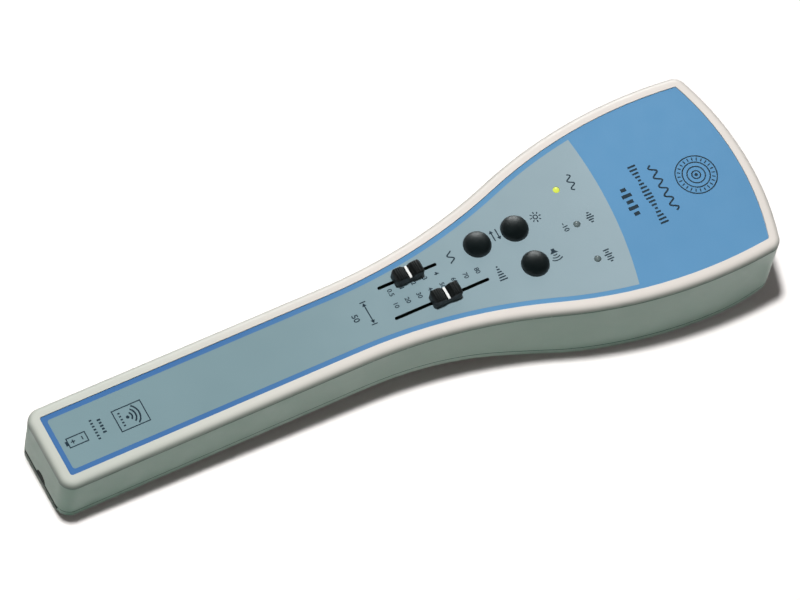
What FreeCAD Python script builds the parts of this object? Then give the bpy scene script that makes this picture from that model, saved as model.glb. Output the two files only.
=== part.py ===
import FreeCAD, Part
import math
import operator
import os

import Sketcher

Vector = FreeCAD.Vector
Rotation = FreeCAD.Rotation
Placement = FreeCAD.Placement

# A club-shaped hand-held audiometer: a handle for two AA cells, a head with a loudspeaker in its underside,
# and a panel with two faders, three keys and three indicator lamps.
#
# The pieces are drawn with the panel's rim at height 0, +X from the handle's end to the head and +Y across.
# At the end all of them are laid down together: the underside of the head and the end of the handle rest on
# the ground, and the origin lies on the ground under the middle of the whole.

DIMENSIONS = {
    # outline of the panel's pocket, from which every other outline is offset
    "panel_length": 328.0,
    "head_half_width": 42.4,
    "neck_radius": 265.0,
    "head_radius": 218.0,
    "head_middle_back": 31.0,
    "end_radius": 129.0,
    "panel_corner": 1.2,
    # housing
    "rim_width": 5.0,
    "rim_rounding": 3.0,
    "pocket_depth": 0.8,
    "plate_thickness": 2.2,
    "wall_thickness": 2.4,
    "rib_thickness": 1.2,
    "rib_depth": 5.0,
    "rib_start": 66.0,
    "rib_pitch": 14.0,
    "rib_count": 3,
    # underside
    "handle_depth": 30.0,
    "cover_depth": 5.0,
    "floor_thickness": 2.4,
    "bottom_bevel": 2.0,
    "rest_tilt": 2.6,
    "throat_radius": 200.0,
    "belly_radius": 200.0,
    "belly_start_back": 90.0,
    "belly_end_back": 31.0,
    "nose_radius": 66.0,
    "lap_height": 1.5,
    "lap_thickness": 1.0,
    "lap_gap": 0.15,
    # panel overlay
    "overlay_thickness": 0.4,
    "overlay_gap": 0.15,
    # faders: a share of 0 is the start of the slot and 1 its end
    "slot_width": 1.6,
    "slot_to_key": 48.8,
    "frequency_slot_length": 28.6,
    "frequency_slot_offset": 8.6,
    "frequency_share": 0.5,
    "level_slot_length": 45.6,
    "level_slot_offset": 7.2,
    "level_share": 0.5368,
    "lever_length": 4.0,
    "lever_width": 1.2,
    "lever_end_gap": 0.4,
    "fader_width": 9.0,
    "fader_height": 7.5,
    "fader_margin": 7.0,
    "fader_sheet": 0.7,
    "fader_gap": 0.3,
    "carriage_length": 8.0,
    "fader_cap_length": 13.5,
    "fader_cap_width": 7.0,
    "fader_cap_height": 6.4,
    "fader_cap_lift": 0.8,
    "fader_cap_shoulder": 4.8,
    "fader_cap_valley": 3.0,
    "fader_cap_crown": 1.4,
    "fader_cap_flat": 1.8,
    "fader_cap_nose": 1.8,
    "fader_cap_scoop": 6.0,
    "fader_cap_skin": 0.8,
    # keys
    "key_to_lamp": 25.5,
    "key_pitch": 18.2,
    "key_offset": 9.3,
    "key_radius": 6.1,
    "key_gap": 0.25,
    "key_height": 3.4,
    "key_crown": 1.2,
    "key_rounding": 1.0,
    "ear_reach": 1.1,
    "ear_thickness": 1.0,
    "key_travel": 1.2,
    "plunger_half_width": 1.8,
    "plunger_grip": 2.4,
    "plunger_gap": 0.08,
    "switch_width": 12.0,
    "switch_height": 4.2,
    "switch_base": 0.9,
    "switch_chamfer": 1.0,
    "plunger_rest": 0.2,
    # indicator lamps
    "lamp_back": 78.8,
    "lamp_pitch": 18.4,
    "lamp_radius": 1.5,
    "lamp_gap": 0.1,
    "lamp_rise": 0.3,
    "lamp_length": 5.4,
    "leg_pitch": 1.9,
    "leg_half_width": 0.3,
    # main board
    "board_level": 12.0,
    "board_thickness": 1.6,
    "board_gap": 0.8,
    "board_lead": 38.7,
    "board_tail": 12.8,
    "post_half_width": 2.4,
    "stake_half_width": 1.1,
    "stake_rise": 0.8,
    # screws
    "screw_radius": 1.5,
    "screw_head_radius": 2.8,
    "screw_head_height": 2.0,
    "screw_hole_gap": 0.1,
    "screw_grip": 8.0,
    "screw_tip_gap": 0.5,
    "boss_split": 21.0,
    "boss_half_width": 3.4,
    "seat_thickness": 4.0,
    "well_gap": 0.3,
    "well_side_gap": 0.6,
    "neck_screw_gap": 8.1,
    "head_screw_back": 12.0,
    "head_screw_y": 28.0,
    "rear_post_lead": 8.0,
    "rear_post_y": 11.0,
    "front_post_lead": 6.8,
    "front_post_y": 30.0,
    # battery bay
    "cell_length": 50.5,
    "cell_radius": 7.25,
    "cell_gap": 0.3,
    "nub_radius": 2.75,
    "nub_length": 1.3,
    "contact_thickness": 0.4,
    "contact_reach": 4.5,
    "contact_gap": 0.1,
    "spring_length": 5.0,
    "bay_start": 0.6,
    "bay_wall": 1.5,
    "bay_side_gap": 0.95,
    "door_thickness": 2.6,
    "rail_thickness": 1.8,
    "rail_end_gap": 3.9,
    "door_gap": 0.15,
    "door_tongue": 1.3,
    "door_lap": 3.6,
    "tongue_thickness": 1.3,
    "tongue_start": 3.0,
    "notch_radius": 3.8,
    "grip_start": 4.0,
    "grip_pitch": 2.4,
    "grip_width": 1.0,
    "grip_depth": 0.5,
    "grip_half_length": 9.0,
    "grip_count": 5,
    # components under the board
    "chip_thickness": 2.2,
    "controller_lead": 9.3,
    "controller_width": 12.0,
    "amplifier_lead": 29.3,
    "amplifier_length": 10.0,
    "amplifier_width": 6.5,
    "capacitor_back": 16.7,
    "capacitor_pitch": 8.0,
    "capacitor_radius": 3.1,
    "capacitor_height": 7.0,
    # loudspeaker
    "speaker_back": 60.5,
    "speaker_radius": 28.3,
    "speaker_height": 20.0,
    "speaker_gap": 0.3,
    "hook_thickness": 1.2,
    "hook_width": 6.0,
    "hook_bite": 1.2,
    "cone_skin": 0.4,
    "cone_gap": 0.3,
    "basket_sheet": 0.8,
    "magnet_low": 13.0,
    "magnet_radius": 16.4,
    "flange_width": 2.5,
    "dome_radius": 9.0,
    "dome_rise": 1.6,
    "grille_radius": 22.0,
    "grille_rows": 4,
    "grille_slot": 2.4,
    "grille_pitch": 4.8,
    # reward light
    "reward_gap": 9.7,
    "reward_radius": 4.4,
    "reward_height": 10.0,
    "lens_step": 1.2,
    "lens_radius": 5.8,
    "lens_thickness": 1.0,
    "reward_lamp_radius": 2.5,
    "reward_lamp_length": 6.4,
    "lamp_post_y": 9.0,
    "lamp_post_half_width": 2.2,
}

doc = FreeCAD.newDocument("audiometer")
sheet = doc.addObject("Spreadsheet::Sheet", "sizes")

# Lengths and volumes below this count as nothing.
HAIR = 0.01

SIGNS = {"+": operator.add, "-": operator.sub, "*": operator.mul, "/": operator.truediv}


class Size(float):
    """A number that keeps the sheet formula it is worked out from."""

    def __new__(cls, value, formula):
        number = float.__new__(cls, value)
        number.formula = formula
        return number

    def __add__(self, other):
        return joined(self, "+", other)

    def __radd__(self, other):
        return joined(other, "+", self)

    def __sub__(self, other):
        return joined(self, "-", other)

    def __rsub__(self, other):
        return joined(other, "-", self)

    def __mul__(self, other):
        return joined(self, "*", other)

    def __rmul__(self, other):
        return joined(other, "*", self)

    def __truediv__(self, other):
        return joined(self, "/", other)

    def __neg__(self):
        return joined(0.0, "-", self)


def as_size(number):
    if isinstance(number, Size):
        return number
    return Size(number, f"({float(number)!r})")


def joined(left, sign, right):
    left = as_size(left)
    right = as_size(right)
    value = SIGNS[sign](float(left), float(right))
    return Size(value, f"({left.formula} {sign} {right.formula})")


def root(number):
    return Size(math.sqrt(number), f"sqrt({number.formula})")


def sine(angle):
    return Size(math.sin(math.radians(angle)), f"sin({angle.formula})")


def cosine(angle):
    return Size(math.cos(math.radians(angle)), f"cos({angle.formula})")


class Sizes:
    """The sheet's cells by name: size.rim_width is the number in the cell of that name."""

    def __init__(self):
        self.row = 0

    def add(self, name, content, value):
        self.row += 1
        sheet.set(f"A{self.row}", name)
        sheet.set(f"B{self.row}", content)
        sheet.setAlias(f"B{self.row}", name)
        setattr(self, name, Size(value, f"sizes.{name}"))

    def derive(self, name, number):
        """Adds a cell whose content is the number's formula."""
        self.add(name, "=" + number.formula.replace("sizes.", ""), float(number))


size = Sizes()
for name, value in DIMENSIONS.items():
    size.add(name, str(value), value)


# ---- sizes worked out from the driving ones -------------------------------------------------------------

# Battery bay: the cells lie side by side just above the door, and the handle is as wide as they need.
size.derive("inner_offset", size.rim_width - size.wall_thickness)
size.derive("door_level", size.handle_depth - size.door_thickness)
size.derive("cell_depth", size.door_level - size.cell_gap - size.cell_radius)
size.derive("cell_offset", size.cell_radius + size.cell_gap / 2.0)
size.derive("bay_half_width", size.cell_offset + size.cell_radius + size.cell_gap)
size.derive("bay_length", size.cell_length + size.spring_length + 2.0 * size.contact_thickness)
size.derive("bay_end", size.bay_start + size.bay_length)
size.derive("bay_ceiling", size.cell_depth - size.cell_radius - size.cell_gap)
size.derive("door_reach", size.bay_end + size.bay_wall + size.door_lap)
size.derive("door_half_width", size.bay_half_width - size.door_gap)
size.derive("tongue_half_width", size.bay_half_width + size.door_tongue - size.door_gap)
size.derive("rail_level", size.door_level - size.rail_thickness)
size.derive("rail_end", size.door_reach + size.rail_end_gap)
bay_side = size.bay_half_width + size.bay_wall + size.bay_side_gap
size.derive("handle_half_width", bay_side - size.inner_offset)

# Places along the panel. The head's parts keep their distance from its end when the handle is made longer:
# a size whose name ends in "back" is counted from the pocket's head end.
size.derive("head_middle", size.panel_length - size.head_middle_back)
size.derive("belly_start", size.panel_length - size.belly_start_back)
size.derive("belly_end", size.panel_length - size.belly_end_back)
size.derive("speaker_x", size.panel_length - size.speaker_back)
size.derive("reward_x", size.speaker_x - size.speaker_radius - size.reward_gap)
size.derive("head_screw_x", size.panel_length - size.head_screw_back)
size.derive("lamp_x", size.panel_length - size.lamp_back)
size.derive("front_keys_x", size.lamp_x - size.key_to_lamp)
size.derive("select_key_x", size.front_keys_x - size.key_pitch)
size.derive("slot_start", size.select_key_x - size.slot_to_key)
size.derive("board_start", size.slot_start - size.board_lead)
size.derive("board_end", size.lamp_x + size.board_tail)
size.derive("rear_post_x", size.board_start + size.rear_post_lead)
size.derive("front_post_x", size.lamp_x + size.front_post_lead)
size.derive("controller_x", size.slot_start + size.controller_lead)
size.derive("amplifier_x", size.slot_start + size.amplifier_lead)
size.derive("capacitor_x", size.slot_start - size.capacitor_back)

# The neck arc and the head arc meet where they have the same slope.
turned = 1.0 - (size.head_half_width - size.handle_half_width) / (size.neck_radius + size.head_radius)
size.derive("neck_cosine", turned)
size.derive("neck_sine", root(1.0 - size.neck_cosine * size.neck_cosine))
size.derive("neck_start", size.head_middle - (size.neck_radius + size.head_radius) * size.neck_sine)
size.derive("end_middle", size.panel_length - size.end_radius)
size.derive("head_low", size.head_radius - size.head_half_width)

# A head corner's centre lies as far inside the head arc as inside the end arc.
size.derive("centres_apart_x", size.head_middle - size.end_middle)
apart_squared = size.centres_apart_x * size.centres_apart_x + size.head_low * size.head_low
size.derive("centres_apart", root(apart_squared))
size.derive("head_reach", size.head_radius - size.panel_corner)
size.derive("end_reach", size.end_radius - size.panel_corner)
reaches = size.head_reach * size.head_reach - size.end_reach * size.end_reach
size.derive("along", (reaches + size.centres_apart * size.centres_apart) / (2.0 * size.centres_apart))
size.derive("aside", root(size.head_reach * size.head_reach - size.along * size.along))
to_end_x = -size.centres_apart_x / size.centres_apart
to_end_y = size.head_low / size.centres_apart
size.derive("corner_x", size.head_middle + size.along * to_end_x + size.aside * to_end_y)
size.derive("corner_y", size.along * to_end_y - size.aside * to_end_x - size.head_low)

# The ground touches the bevel at the foot of the handle's end and lies flat against the belly.
size.derive("tilt_sine", sine(size.rest_tilt))
size.derive("tilt_cosine", cosine(size.rest_tilt))
bevel_loss = size.bottom_bevel * size.tilt_sine
lowest_corner = size.handle_depth * size.tilt_cosine + size.rim_width * size.tilt_sine
size.derive("ground_depth", lowest_corner - bevel_loss)


def ground_at(x):
    """Height of the ground under the point x of the handle's axis."""
    return (-size.ground_depth - size.tilt_sine * x) / size.tilt_cosine


# The underside runs level along the handle, down the throat, along the belly and up the nose.
size.derive("belly_start_z", ground_at(size.belly_start))
size.derive("belly_end_z", ground_at(size.belly_end))
size.derive("belly_centre_x", size.belly_start + size.belly_radius * size.tilt_sine)
size.derive("belly_centre_z", size.belly_start_z + size.belly_radius * size.tilt_cosine)
size.derive("throat_centre_z", -size.handle_depth - size.throat_radius)
size.derive("throat_rise", size.belly_centre_z - size.throat_centre_z)
size.derive("throat_reach", size.throat_radius + size.belly_radius)
throat_run = root(size.throat_reach * size.throat_reach - size.throat_rise * size.throat_rise)
size.derive("throat_start", size.belly_centre_x - throat_run)
throat_share = size.throat_radius / size.throat_reach
size.derive("throat_end_x", size.throat_start + (size.belly_centre_x - size.throat_start) * throat_share)
size.derive("throat_end_z", size.throat_centre_z + size.throat_rise * throat_share)
size.derive("head_end", size.panel_length + size.rim_width)
size.derive("nose_centre_x", size.belly_end + size.nose_radius * size.tilt_sine)
size.derive("nose_centre_z", size.belly_end_z + size.nose_radius * size.tilt_cosine)
nose_run = size.head_end - size.nose_centre_x
nose_drop = root(size.nose_radius * size.nose_radius - nose_run * nose_run)
size.derive("nose_end_z", size.nose_centre_z - nose_drop)
size.derive("block_depth", size.cover_depth - size.belly_end_z)

# Levels inside the housing.
size.derive("plate_level", size.pocket_depth + size.plate_thickness)
size.derive("lap_offset", size.inner_offset - size.lap_gap)
size.derive("board_offset", size.inner_offset - size.board_gap)
size.derive("board_underside", size.board_level + size.board_thickness)
size.derive("overlay_level", size.pocket_depth - size.overlay_thickness)
size.derive("cap_level", size.fader_cap_lift - size.overlay_level)
size.derive("plunger_foot", size.board_level - size.switch_base - size.key_travel - size.plunger_rest)
plunger_head = size.plate_level + size.ear_thickness - size.plunger_grip
size.derive("plunger_length", size.plunger_foot - plunger_head)

# Each lever stops short of the ends of its slot, and its tip ends inside the cap.
lever_reach = size.lever_length / 2.0 + size.lever_end_gap
size.derive("first_setting", size.slot_start + lever_reach)
frequency_travel = size.frequency_slot_length - 2.0 * lever_reach
size.derive("frequency_setting", size.first_setting + frequency_travel * size.frequency_share)
level_travel = size.level_slot_length - 2.0 * lever_reach
size.derive("level_setting", size.first_setting + level_travel * size.level_share)
size.derive("fader_cap_socket", size.fader_cap_valley - size.fader_cap_skin)

# Loudspeaker: its diaphragm lies on the floor and the basket's flange on the diaphragm.
size.derive("seat_lift", size.floor_thickness * size.tilt_cosine)
size.derive("pan_radius", size.speaker_radius - size.flange_width)
size.derive("flange_low", size.cone_skin)
size.derive("flange_top", size.flange_low + size.basket_sheet)

# Every housing screw stands in a well of the lower cover and bites in a boss of the upper housing.
size.derive("screw_seat_level", size.boss_split + size.seat_thickness)
size.derive("well_radius", size.screw_head_radius + size.well_gap)
size.derive("well_half_width", size.well_radius + size.bay_wall)
size.derive("neck_screw_x", size.rail_end + size.neck_screw_gap)
wall_inside = size.handle_half_width + size.inner_offset
size.derive("neck_screw_y", wall_inside - size.well_half_width - size.well_side_gap)


# ---- drawing and feature helpers ------------------------------------------------------------------------


def bind(item, path, number):
    """Ties one property to the sheet."""
    number = as_size(number)
    if "." not in path:
        setattr(item, path, float(number))
    item.setExpression(path, number.formula)


def new_body(label):
    body = doc.addObject("PartDesign::Body", label)
    body.Label = label
    return body


def sketch_on(body, name, plane="XY_Plane", level=0.0):
    """A sketch on one of the body's own origin planes, moved along the plane's normal by level."""
    sketch = body.newObject("Sketcher::SketchObject", name)
    origin = [part for part in body.Origin.OriginFeatures if part.Role == plane][0]
    sketch.AttachmentSupport = [(origin, "")]
    sketch.MapMode = "FlatFace"
    bind(sketch, "AttachmentOffset.Base.z", level)
    return sketch


def sketch_on_belly(body, name, x, lift):
    """A sketch parallel to the ground, lift above it, with its origin over the point x."""
    sketch = sketch_on(body, name, level=ground_at(x) + lift * size.tilt_cosine)
    sketch.AttachmentOffset = Placement(Vector(), Rotation(Vector(0, 1, 0), float(size.rest_tilt)))
    bind(sketch, "AttachmentOffset.Base.x", x + lift * size.tilt_sine)
    bind(sketch, "AttachmentOffset.Rotation.Angle", size.rest_tilt)
    return sketch


def fix(sketch, kind, geometry, point, number):
    """Sets the distance of a point from the sketch's origin along one axis."""
    number = as_size(number)
    constraint = Sketcher.Constraint(kind, -1, 1, geometry, point, float(number))
    sketch.setExpression(f"Constraints[{sketch.addConstraint(constraint)}]", number.formula)


def fix_radius(sketch, geometry, number):
    number = as_size(number)
    constraint = Sketcher.Constraint("Radius", geometry, float(number))
    sketch.setExpression(f"Constraints[{sketch.addConstraint(constraint)}]", number.formula)


def arc_between(start, end, radius):
    """The short arc from start to end. A positive radius turns left, a negative one right."""
    chord = end - start
    half = chord.Length / 2.0
    left = Vector(-chord.y, chord.x, 0).normalize()
    bow = abs(radius) - math.sqrt(max(radius * radius - half * half, 0.0))
    middle = (start + end) / 2.0 - left * math.copysign(bow, radius)
    if radius > 0:
        return Part.Arc(start, middle, end)
    return Part.Arc(end, middle, start)


def trace(sketch, corners):
    """Draws a closed outline. A corner is (x, y), or (x, y, radius) where an arc leads to it."""
    first = sketch.GeometryCount
    points = [Vector(float(corner[0]), float(corner[1]), 0) for corner in corners]
    joints = []
    for index, point in enumerate(points):
        target = (index + 1) % len(points)
        radius = corners[target][2] if len(corners[target]) > 2 else None
        if radius is None:
            sketch.addGeometry(Part.LineSegment(point, points[target]))
            joints.append((1, 2))
            continue
        sketch.addGeometry(arc_between(point, points[target], float(radius)))
        joints.append((1, 2) if radius > 0 else (2, 1))
    for index, corner in enumerate(corners):
        before = index - 1 if index else len(corners) - 1
        start = joints[index][0]
        meeting = ("Coincident", first + before, joints[before][1], first + index, start)
        sketch.addConstraint(Sketcher.Constraint(*meeting))
        fix(sketch, "DistanceX", first + index, start, corner[0])
        fix(sketch, "DistanceY", first + index, start, corner[1])
        if len(corner) > 2:
            fix_radius(sketch, first + before, corner[2] if corner[2] > 0 else -corner[2])


def circle(sketch, x, y, radius):
    number = sketch.addGeometry(Part.Circle(Vector(float(x), float(y), 0), Vector(0, 0, 1), float(radius)))
    fix(sketch, "DistanceX", number, 3, x)
    fix(sketch, "DistanceY", number, 3, y)
    fix_radius(sketch, number, radius)


def rectangle(sketch, left, low, right, high):
    trace(sketch, [(left, low), (right, low), (right, high), (left, high)])


def stadium(sketch, left, right, y, width):
    """A slot along x with half-round ends."""
    half = as_size(width) / 2.0
    first = sketch.GeometryCount
    ends = ((left, math.pi / 2, 3 * math.pi / 2), (right, -math.pi / 2, math.pi / 2))
    for x, start, end in ends:
        round_end = Part.Circle(Vector(float(x), float(y), 0), Vector(0, 0, 1), float(half))
        sketch.addGeometry(Part.ArcOfCircle(round_end, start, end))
    for side in (-1, 1):
        edge = float(y) + side * float(half)
        sketch.addGeometry(Part.LineSegment(Vector(float(left), edge, 0), Vector(float(right), edge, 0)))
    meetings = ((first, 2, first + 2, 1), (first + 2, 2, first + 1, 1))
    meetings += ((first + 1, 2, first + 3, 2), (first + 3, 1, first, 1))
    for one, one_end, other, other_end in meetings:
        sketch.addConstraint(Sketcher.Constraint("Tangent", one, one_end, other, other_end))
    for number, x in ((first, left), (first + 1, right)):
        fix(sketch, "DistanceX", number, 3, x)
        fix(sketch, "DistanceY", number, 3, y)
    fix_radius(sketch, first, half)


def feature(body, kind, name, sketch):
    item = body.newObject(f"PartDesign::{kind}", name)
    item.Profile = sketch
    return item


def pad(body, name, sketch, length, down=False, both_ways=False):
    item = feature(body, "Pad", name, sketch)
    bind(item, "Length", length)
    item.Reversed = down
    item.SideType = "Symmetric" if both_ways else "One side"
    return item


def pocket(body, name, sketch, depth=None, up=False, both_ways=False):
    """Cuts against the sketch's normal, or along it with up. Without a depth it cuts through all."""
    item = feature(body, "Pocket", name, sketch)
    item.Reversed = up
    item.SideType = "Symmetric" if both_ways else "One side"
    if depth is None:
        item.Type = "ThroughAll"
    else:
        bind(item, "Length", depth)
    return item


def turn(body, name, sketch, axis="V_Axis"):
    item = feature(body, "Revolution", name, sketch)
    item.ReferenceAxis = (sketch, [axis])
    item.Angle = 360.0
    return item


def round_edges(body, name, radius, wanted, kind="Fillet"):
    """Rounds those edges of the body as it is so far that wanted() picks."""
    doc.recompute()
    base = body.Tip
    picked = [f"Edge{n}" for n, edge in enumerate(base.Shape.Edges, 1) if wanted(edge)]
    item = body.newObject(f"PartDesign::{kind}", name)
    item.Base = (base, picked)
    bind(item, "Radius" if kind == "Fillet" else "Size", radius)
    return item


def middle_of(edge):
    return edge.valueAt((edge.FirstParameter + edge.LastParameter) / 2.0)


def near(value, wanted):
    return abs(value - wanted) < HAIR


def outline(offset):
    """The club shape, offset outwards from the panel's pocket, as the corners of one closed outline."""
    side = size.handle_half_width + offset
    corner = size.panel_corner + offset
    neck = size.neck_radius - offset
    head = size.head_radius + offset
    end = size.end_radius + offset
    bend_x = size.neck_start + neck * size.neck_sine
    bend_y = size.handle_half_width + size.neck_radius - neck * size.neck_cosine
    head_x = size.head_middle + head * (size.corner_x - size.head_middle) / size.head_reach
    head_y = head * (size.corner_y + size.head_low) / size.head_reach - size.head_low
    end_x = size.end_middle + end * (size.corner_x - size.end_middle) / size.end_reach
    end_y = end * size.corner_y / size.end_reach
    back = -as_size(offset)
    inner_side = size.handle_half_width - size.panel_corner
    return [
        (back, -inner_side),
        (size.panel_corner, -side, corner),
        (size.neck_start, -side),
        (bend_x, -bend_y, -neck),
        (head_x, -head_y, head),
        (end_x, -end_y, corner),
        (end_x, end_y, end),
        (head_x, head_y, corner),
        (bend_x, bend_y, head),
        (size.neck_start, side, -neck),
        (size.panel_corner, side),
        (back, inner_side, corner),
    ]


def underside(rise):
    """The lower edge of the side view, raised by rise, from the handle's end to the nose."""
    return [
        (-size.head_end, rise - size.handle_depth),
        (size.throat_start, rise - size.handle_depth),
        (size.throat_end_x, size.throat_end_z + rise, -size.throat_radius),
        (size.belly_start, size.belly_start_z + rise, size.belly_radius),
        (size.belly_end, size.belly_end_z + rise),
        (size.head_end, size.nose_end_z + rise, size.nose_radius),
        (size.head_end * 2.0, size.nose_end_z + rise),
    ]


def side_sketch(body, name, rise, above):
    """The side view of all that lies above, or below, the raised underside."""
    limit = size.block_depth if above else -2.0 * size.block_depth
    sketch = sketch_on(body, name, "XZ_Plane")
    trace(sketch, underside(rise) + [(size.head_end * 2.0, limit), (-size.head_end, limit)])
    return sketch


def outline_sketch(body, name, offsets, level=0.0):
    sketch = sketch_on(body, name, level=level)
    for offset in offsets:
        trace(sketch, outline(offset))
    return sketch


# ---- housing --------------------------------------------------------------------------------------------

HOUSING_SCREWS = [
    (size.neck_screw_x, size.neck_screw_y),
    (size.head_screw_x, size.head_screw_y),
]
BOARD_PINS = [
    (size.rear_post_x, size.rear_post_y),
    (size.front_post_x, size.front_post_y),
]
KEYS = {
    "select": (size.select_key_x, size.key_offset),
    "light": (size.front_keys_x, size.key_offset),
    "stimulus": (size.front_keys_x, -size.key_offset),
}
FADERS = {
    "frequency": (size.frequency_slot_offset, size.frequency_slot_length, size.frequency_setting),
    "level": (-size.level_slot_offset, size.level_slot_length, size.level_setting),
}
LAMPS = {"tone": size.lamp_pitch, "noise": as_size(0.0), "warble": -size.lamp_pitch}


def both_sides(places):
    return [(x, y * side) for x, y in places for side in (1.0, -1.0)]


def squares(body, name, level, places, half):
    sketch = sketch_on(body, name, level=level)
    for x, y in places:
        rectangle(sketch, x - half, y - half, x + half, y + half)
    return sketch


def circles(body, name, level, places, radius):
    sketch = sketch_on(body, name, level=level)
    for x, y in places:
        circle(sketch, x, y, radius)
    return sketch


def panel_openings(body, name, gap):
    """Slots, key holes and lamp holes, each wider all round by gap."""
    sketch = sketch_on(body, name)
    for y, length, _ in FADERS.values():
        half = size.slot_width / 2.0
        end = size.slot_start + length
        stadium(sketch, size.slot_start + half, end - half, y, size.slot_width + gap * 2.0)
    for x, y in KEYS.values():
        circle(sketch, x, y, size.key_radius + size.key_gap + gap)
    for y in LAMPS.values():
        circle(sketch, size.lamp_x, y, size.lamp_radius + size.lamp_gap + gap)
    return sketch


def upper_housing():
    body = new_body("upper_housing")
    pad(body, "block", outline_sketch(body, "rim_outline", [size.rim_width]), size.block_depth, down=True)
    round_edges(body, "rim_edge", size.rim_rounding, lambda edge: near(edge.BoundBox.ZMin, 0.0))
    room = outline_sketch(body, "room_outline", [size.inner_offset], -size.plate_level)
    pocket(body, "room", room)
    ribs = sketch_on(body, "rib_outlines", level=-size.plate_level)
    reach = size.handle_half_width + size.rim_width - size.wall_thickness / 2.0
    for number in range(int(size.rib_count)):
        x = size.rib_start + size.rib_pitch * number
        rectangle(ribs, x, -reach, x + size.rib_thickness, reach)
    pad(body, "ribs", ribs, size.rib_depth, down=True)
    pins = both_sides(BOARD_PINS)
    screws = both_sides(HOUSING_SCREWS)
    bosses = squares(body, "boss_outlines", -size.plate_level, screws, size.boss_half_width)
    pad(body, "bosses", bosses, size.boss_split - size.plate_level, down=True)
    posts = squares(body, "post_outlines", -size.plate_level, pins, size.post_half_width)
    pad(body, "posts", posts, size.board_level - size.plate_level, down=True)
    stakes = squares(body, "stake_outlines", -size.board_level, pins, size.stake_half_width)
    pad(body, "stakes", stakes, size.board_thickness + size.stake_rise, down=True)
    parting = side_sketch(body, "parting_view", size.cover_depth, above=False)
    pocket(body, "parting", parting, both_ways=True)
    pocket(body, "panel_pocket", outline_sketch(body, "panel_outline", [0.0]), size.pocket_depth)
    pocket(body, "panel_holes", panel_openings(body, "hole_outlines", 0.0), size.plate_level)
    bores = circles(body, "bore_outlines", -size.boss_split, screws, size.screw_radius)
    pocket(body, "bores", bores, size.screw_grip, up=True)
    notch = sketch_on(body, "notch_outline", "YZ_Plane", -size.rim_width)
    circle(notch, 0.0, size.cover_depth - size.handle_depth, size.notch_radius)
    pocket(body, "thumb_notch", notch, size.wall_thickness, up=True)
    return body


def lower_cover():
    body = new_body("lower_cover")
    deep = size.block_depth
    pad(body, "block", outline_sketch(body, "outer_outline", [size.rim_width]), deep, down=True)
    floor_top = side_sketch(body, "floor_view", size.floor_thickness, above=True)
    pocket(body, "floor_top", floor_top, both_ways=True)
    wall = outline_sketch(body, "wall_outline", [size.rim_width, size.inner_offset])
    pad(body, "wall", wall, deep, down=True)
    pocket(body, "parting", side_sketch(body, "parting_view", size.cover_depth, above=True), both_ways=True)
    lap = outline_sketch(body, "lap_outline", [size.lap_offset, size.lap_offset - size.lap_thickness])
    pad(body, "lap", lap, deep, down=True)
    lap_top = size.cover_depth + size.lap_height
    pocket(body, "lap_top", side_sketch(body, "lap_view", lap_top, above=True), both_ways=True)
    battery_bay(body)
    screws = both_sides(HOUSING_SCREWS)
    wells = squares(body, "well_outlines", -size.boss_split, screws, size.well_half_width)
    pad(body, "wells", wells, deep, down=True)
    pocket(body, "underside", side_sketch(body, "under_view", 0.0, above=False), both_ways=True)
    round_edges(body, "bottom_edge", size.bottom_bevel, lies_on_underside, kind="Chamfer")
    door_channel(body)
    seats = circles(body, "seat_outlines", -size.screw_seat_level, screws, size.well_radius)
    pocket(body, "screw_wells", seats)
    clear = size.screw_radius + size.screw_hole_gap
    holes = circles(body, "clear_outlines", -size.boss_split, screws, clear)
    pocket(body, "screw_holes", holes, size.seat_thickness)
    speaker_seat(body)
    reward_seat(body)
    return body


def lies_on_underside(edge):
    """True for an edge of the outer wall's foot: its ends and middle lie on the underside's side view."""
    points = [middle_of(edge)] + [vertex.Point for vertex in edge.Vertexes]
    return all(near(point.z, underside_height(point.x)) for point in points)


def underside_height(x):
    if x < size.throat_start:
        return -float(size.handle_depth)
    if x < size.throat_end_x:
        run = x - size.throat_start
        return size.throat_centre_z + math.sqrt(size.throat_radius ** 2 - run ** 2)
    if x < size.belly_start:
        run = x - size.belly_centre_x
        return size.belly_centre_z - math.sqrt(size.belly_radius ** 2 - run ** 2)
    if x < size.belly_end:
        return float(ground_at(x))
    run = x - size.nose_centre_x
    return size.nose_centre_z - math.sqrt(size.nose_radius ** 2 - run ** 2)


def battery_bay(body):
    """Walls, roof and door rails, all standing on the floor."""
    half = size.bay_half_width
    wall = size.bay_wall
    box = sketch_on(body, "bay_outline", level=-size.bay_ceiling + wall)
    rectangle(box, size.bay_start - wall, -half - wall, size.bay_end + wall, half + wall)
    pad(body, "bay_box", box, size.block_depth, down=True)
    rails = sketch_on(body, "rail_outline", level=-size.rail_level)
    rail_side = size.handle_half_width + size.inner_offset + size.lap_thickness
    rectangle(rails, -size.inner_offset, -rail_side, size.rail_end, rail_side)
    pad(body, "rails", rails, size.block_depth, down=True)


def door_channel(body):
    """The room for the cells, the mouth in the end wall and the grooves of the sliding door."""
    half = size.bay_half_width
    back = -2.0 * size.rim_width
    room = sketch_on(body, "bay_room_outline", level=-size.bay_ceiling)
    rectangle(room, size.bay_start, -half, size.bay_end, half)
    pocket(body, "bay_room", room)
    above_door = size.door_level - size.door_gap
    channel = sketch_on(body, "channel_outline", level=-above_door)
    rectangle(channel, back, -half, size.door_reach + size.door_gap, half)
    pocket(body, "channel", channel)
    mouth = sketch_on(body, "mouth_outline", level=size.cover_depth + size.lap_height - size.handle_depth)
    rectangle(mouth, back, -half, size.bay_start - size.bay_wall, half)
    pocket(body, "mouth", mouth)
    grooves = sketch_on(body, "groove_outline", level=-above_door)
    reach = size.tongue_half_width + size.door_gap
    rectangle(grooves, back, -reach, size.door_reach + size.door_tongue + size.door_gap, reach)
    pocket(body, "grooves", grooves, size.tongue_thickness + 2.0 * size.door_gap)


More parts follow.
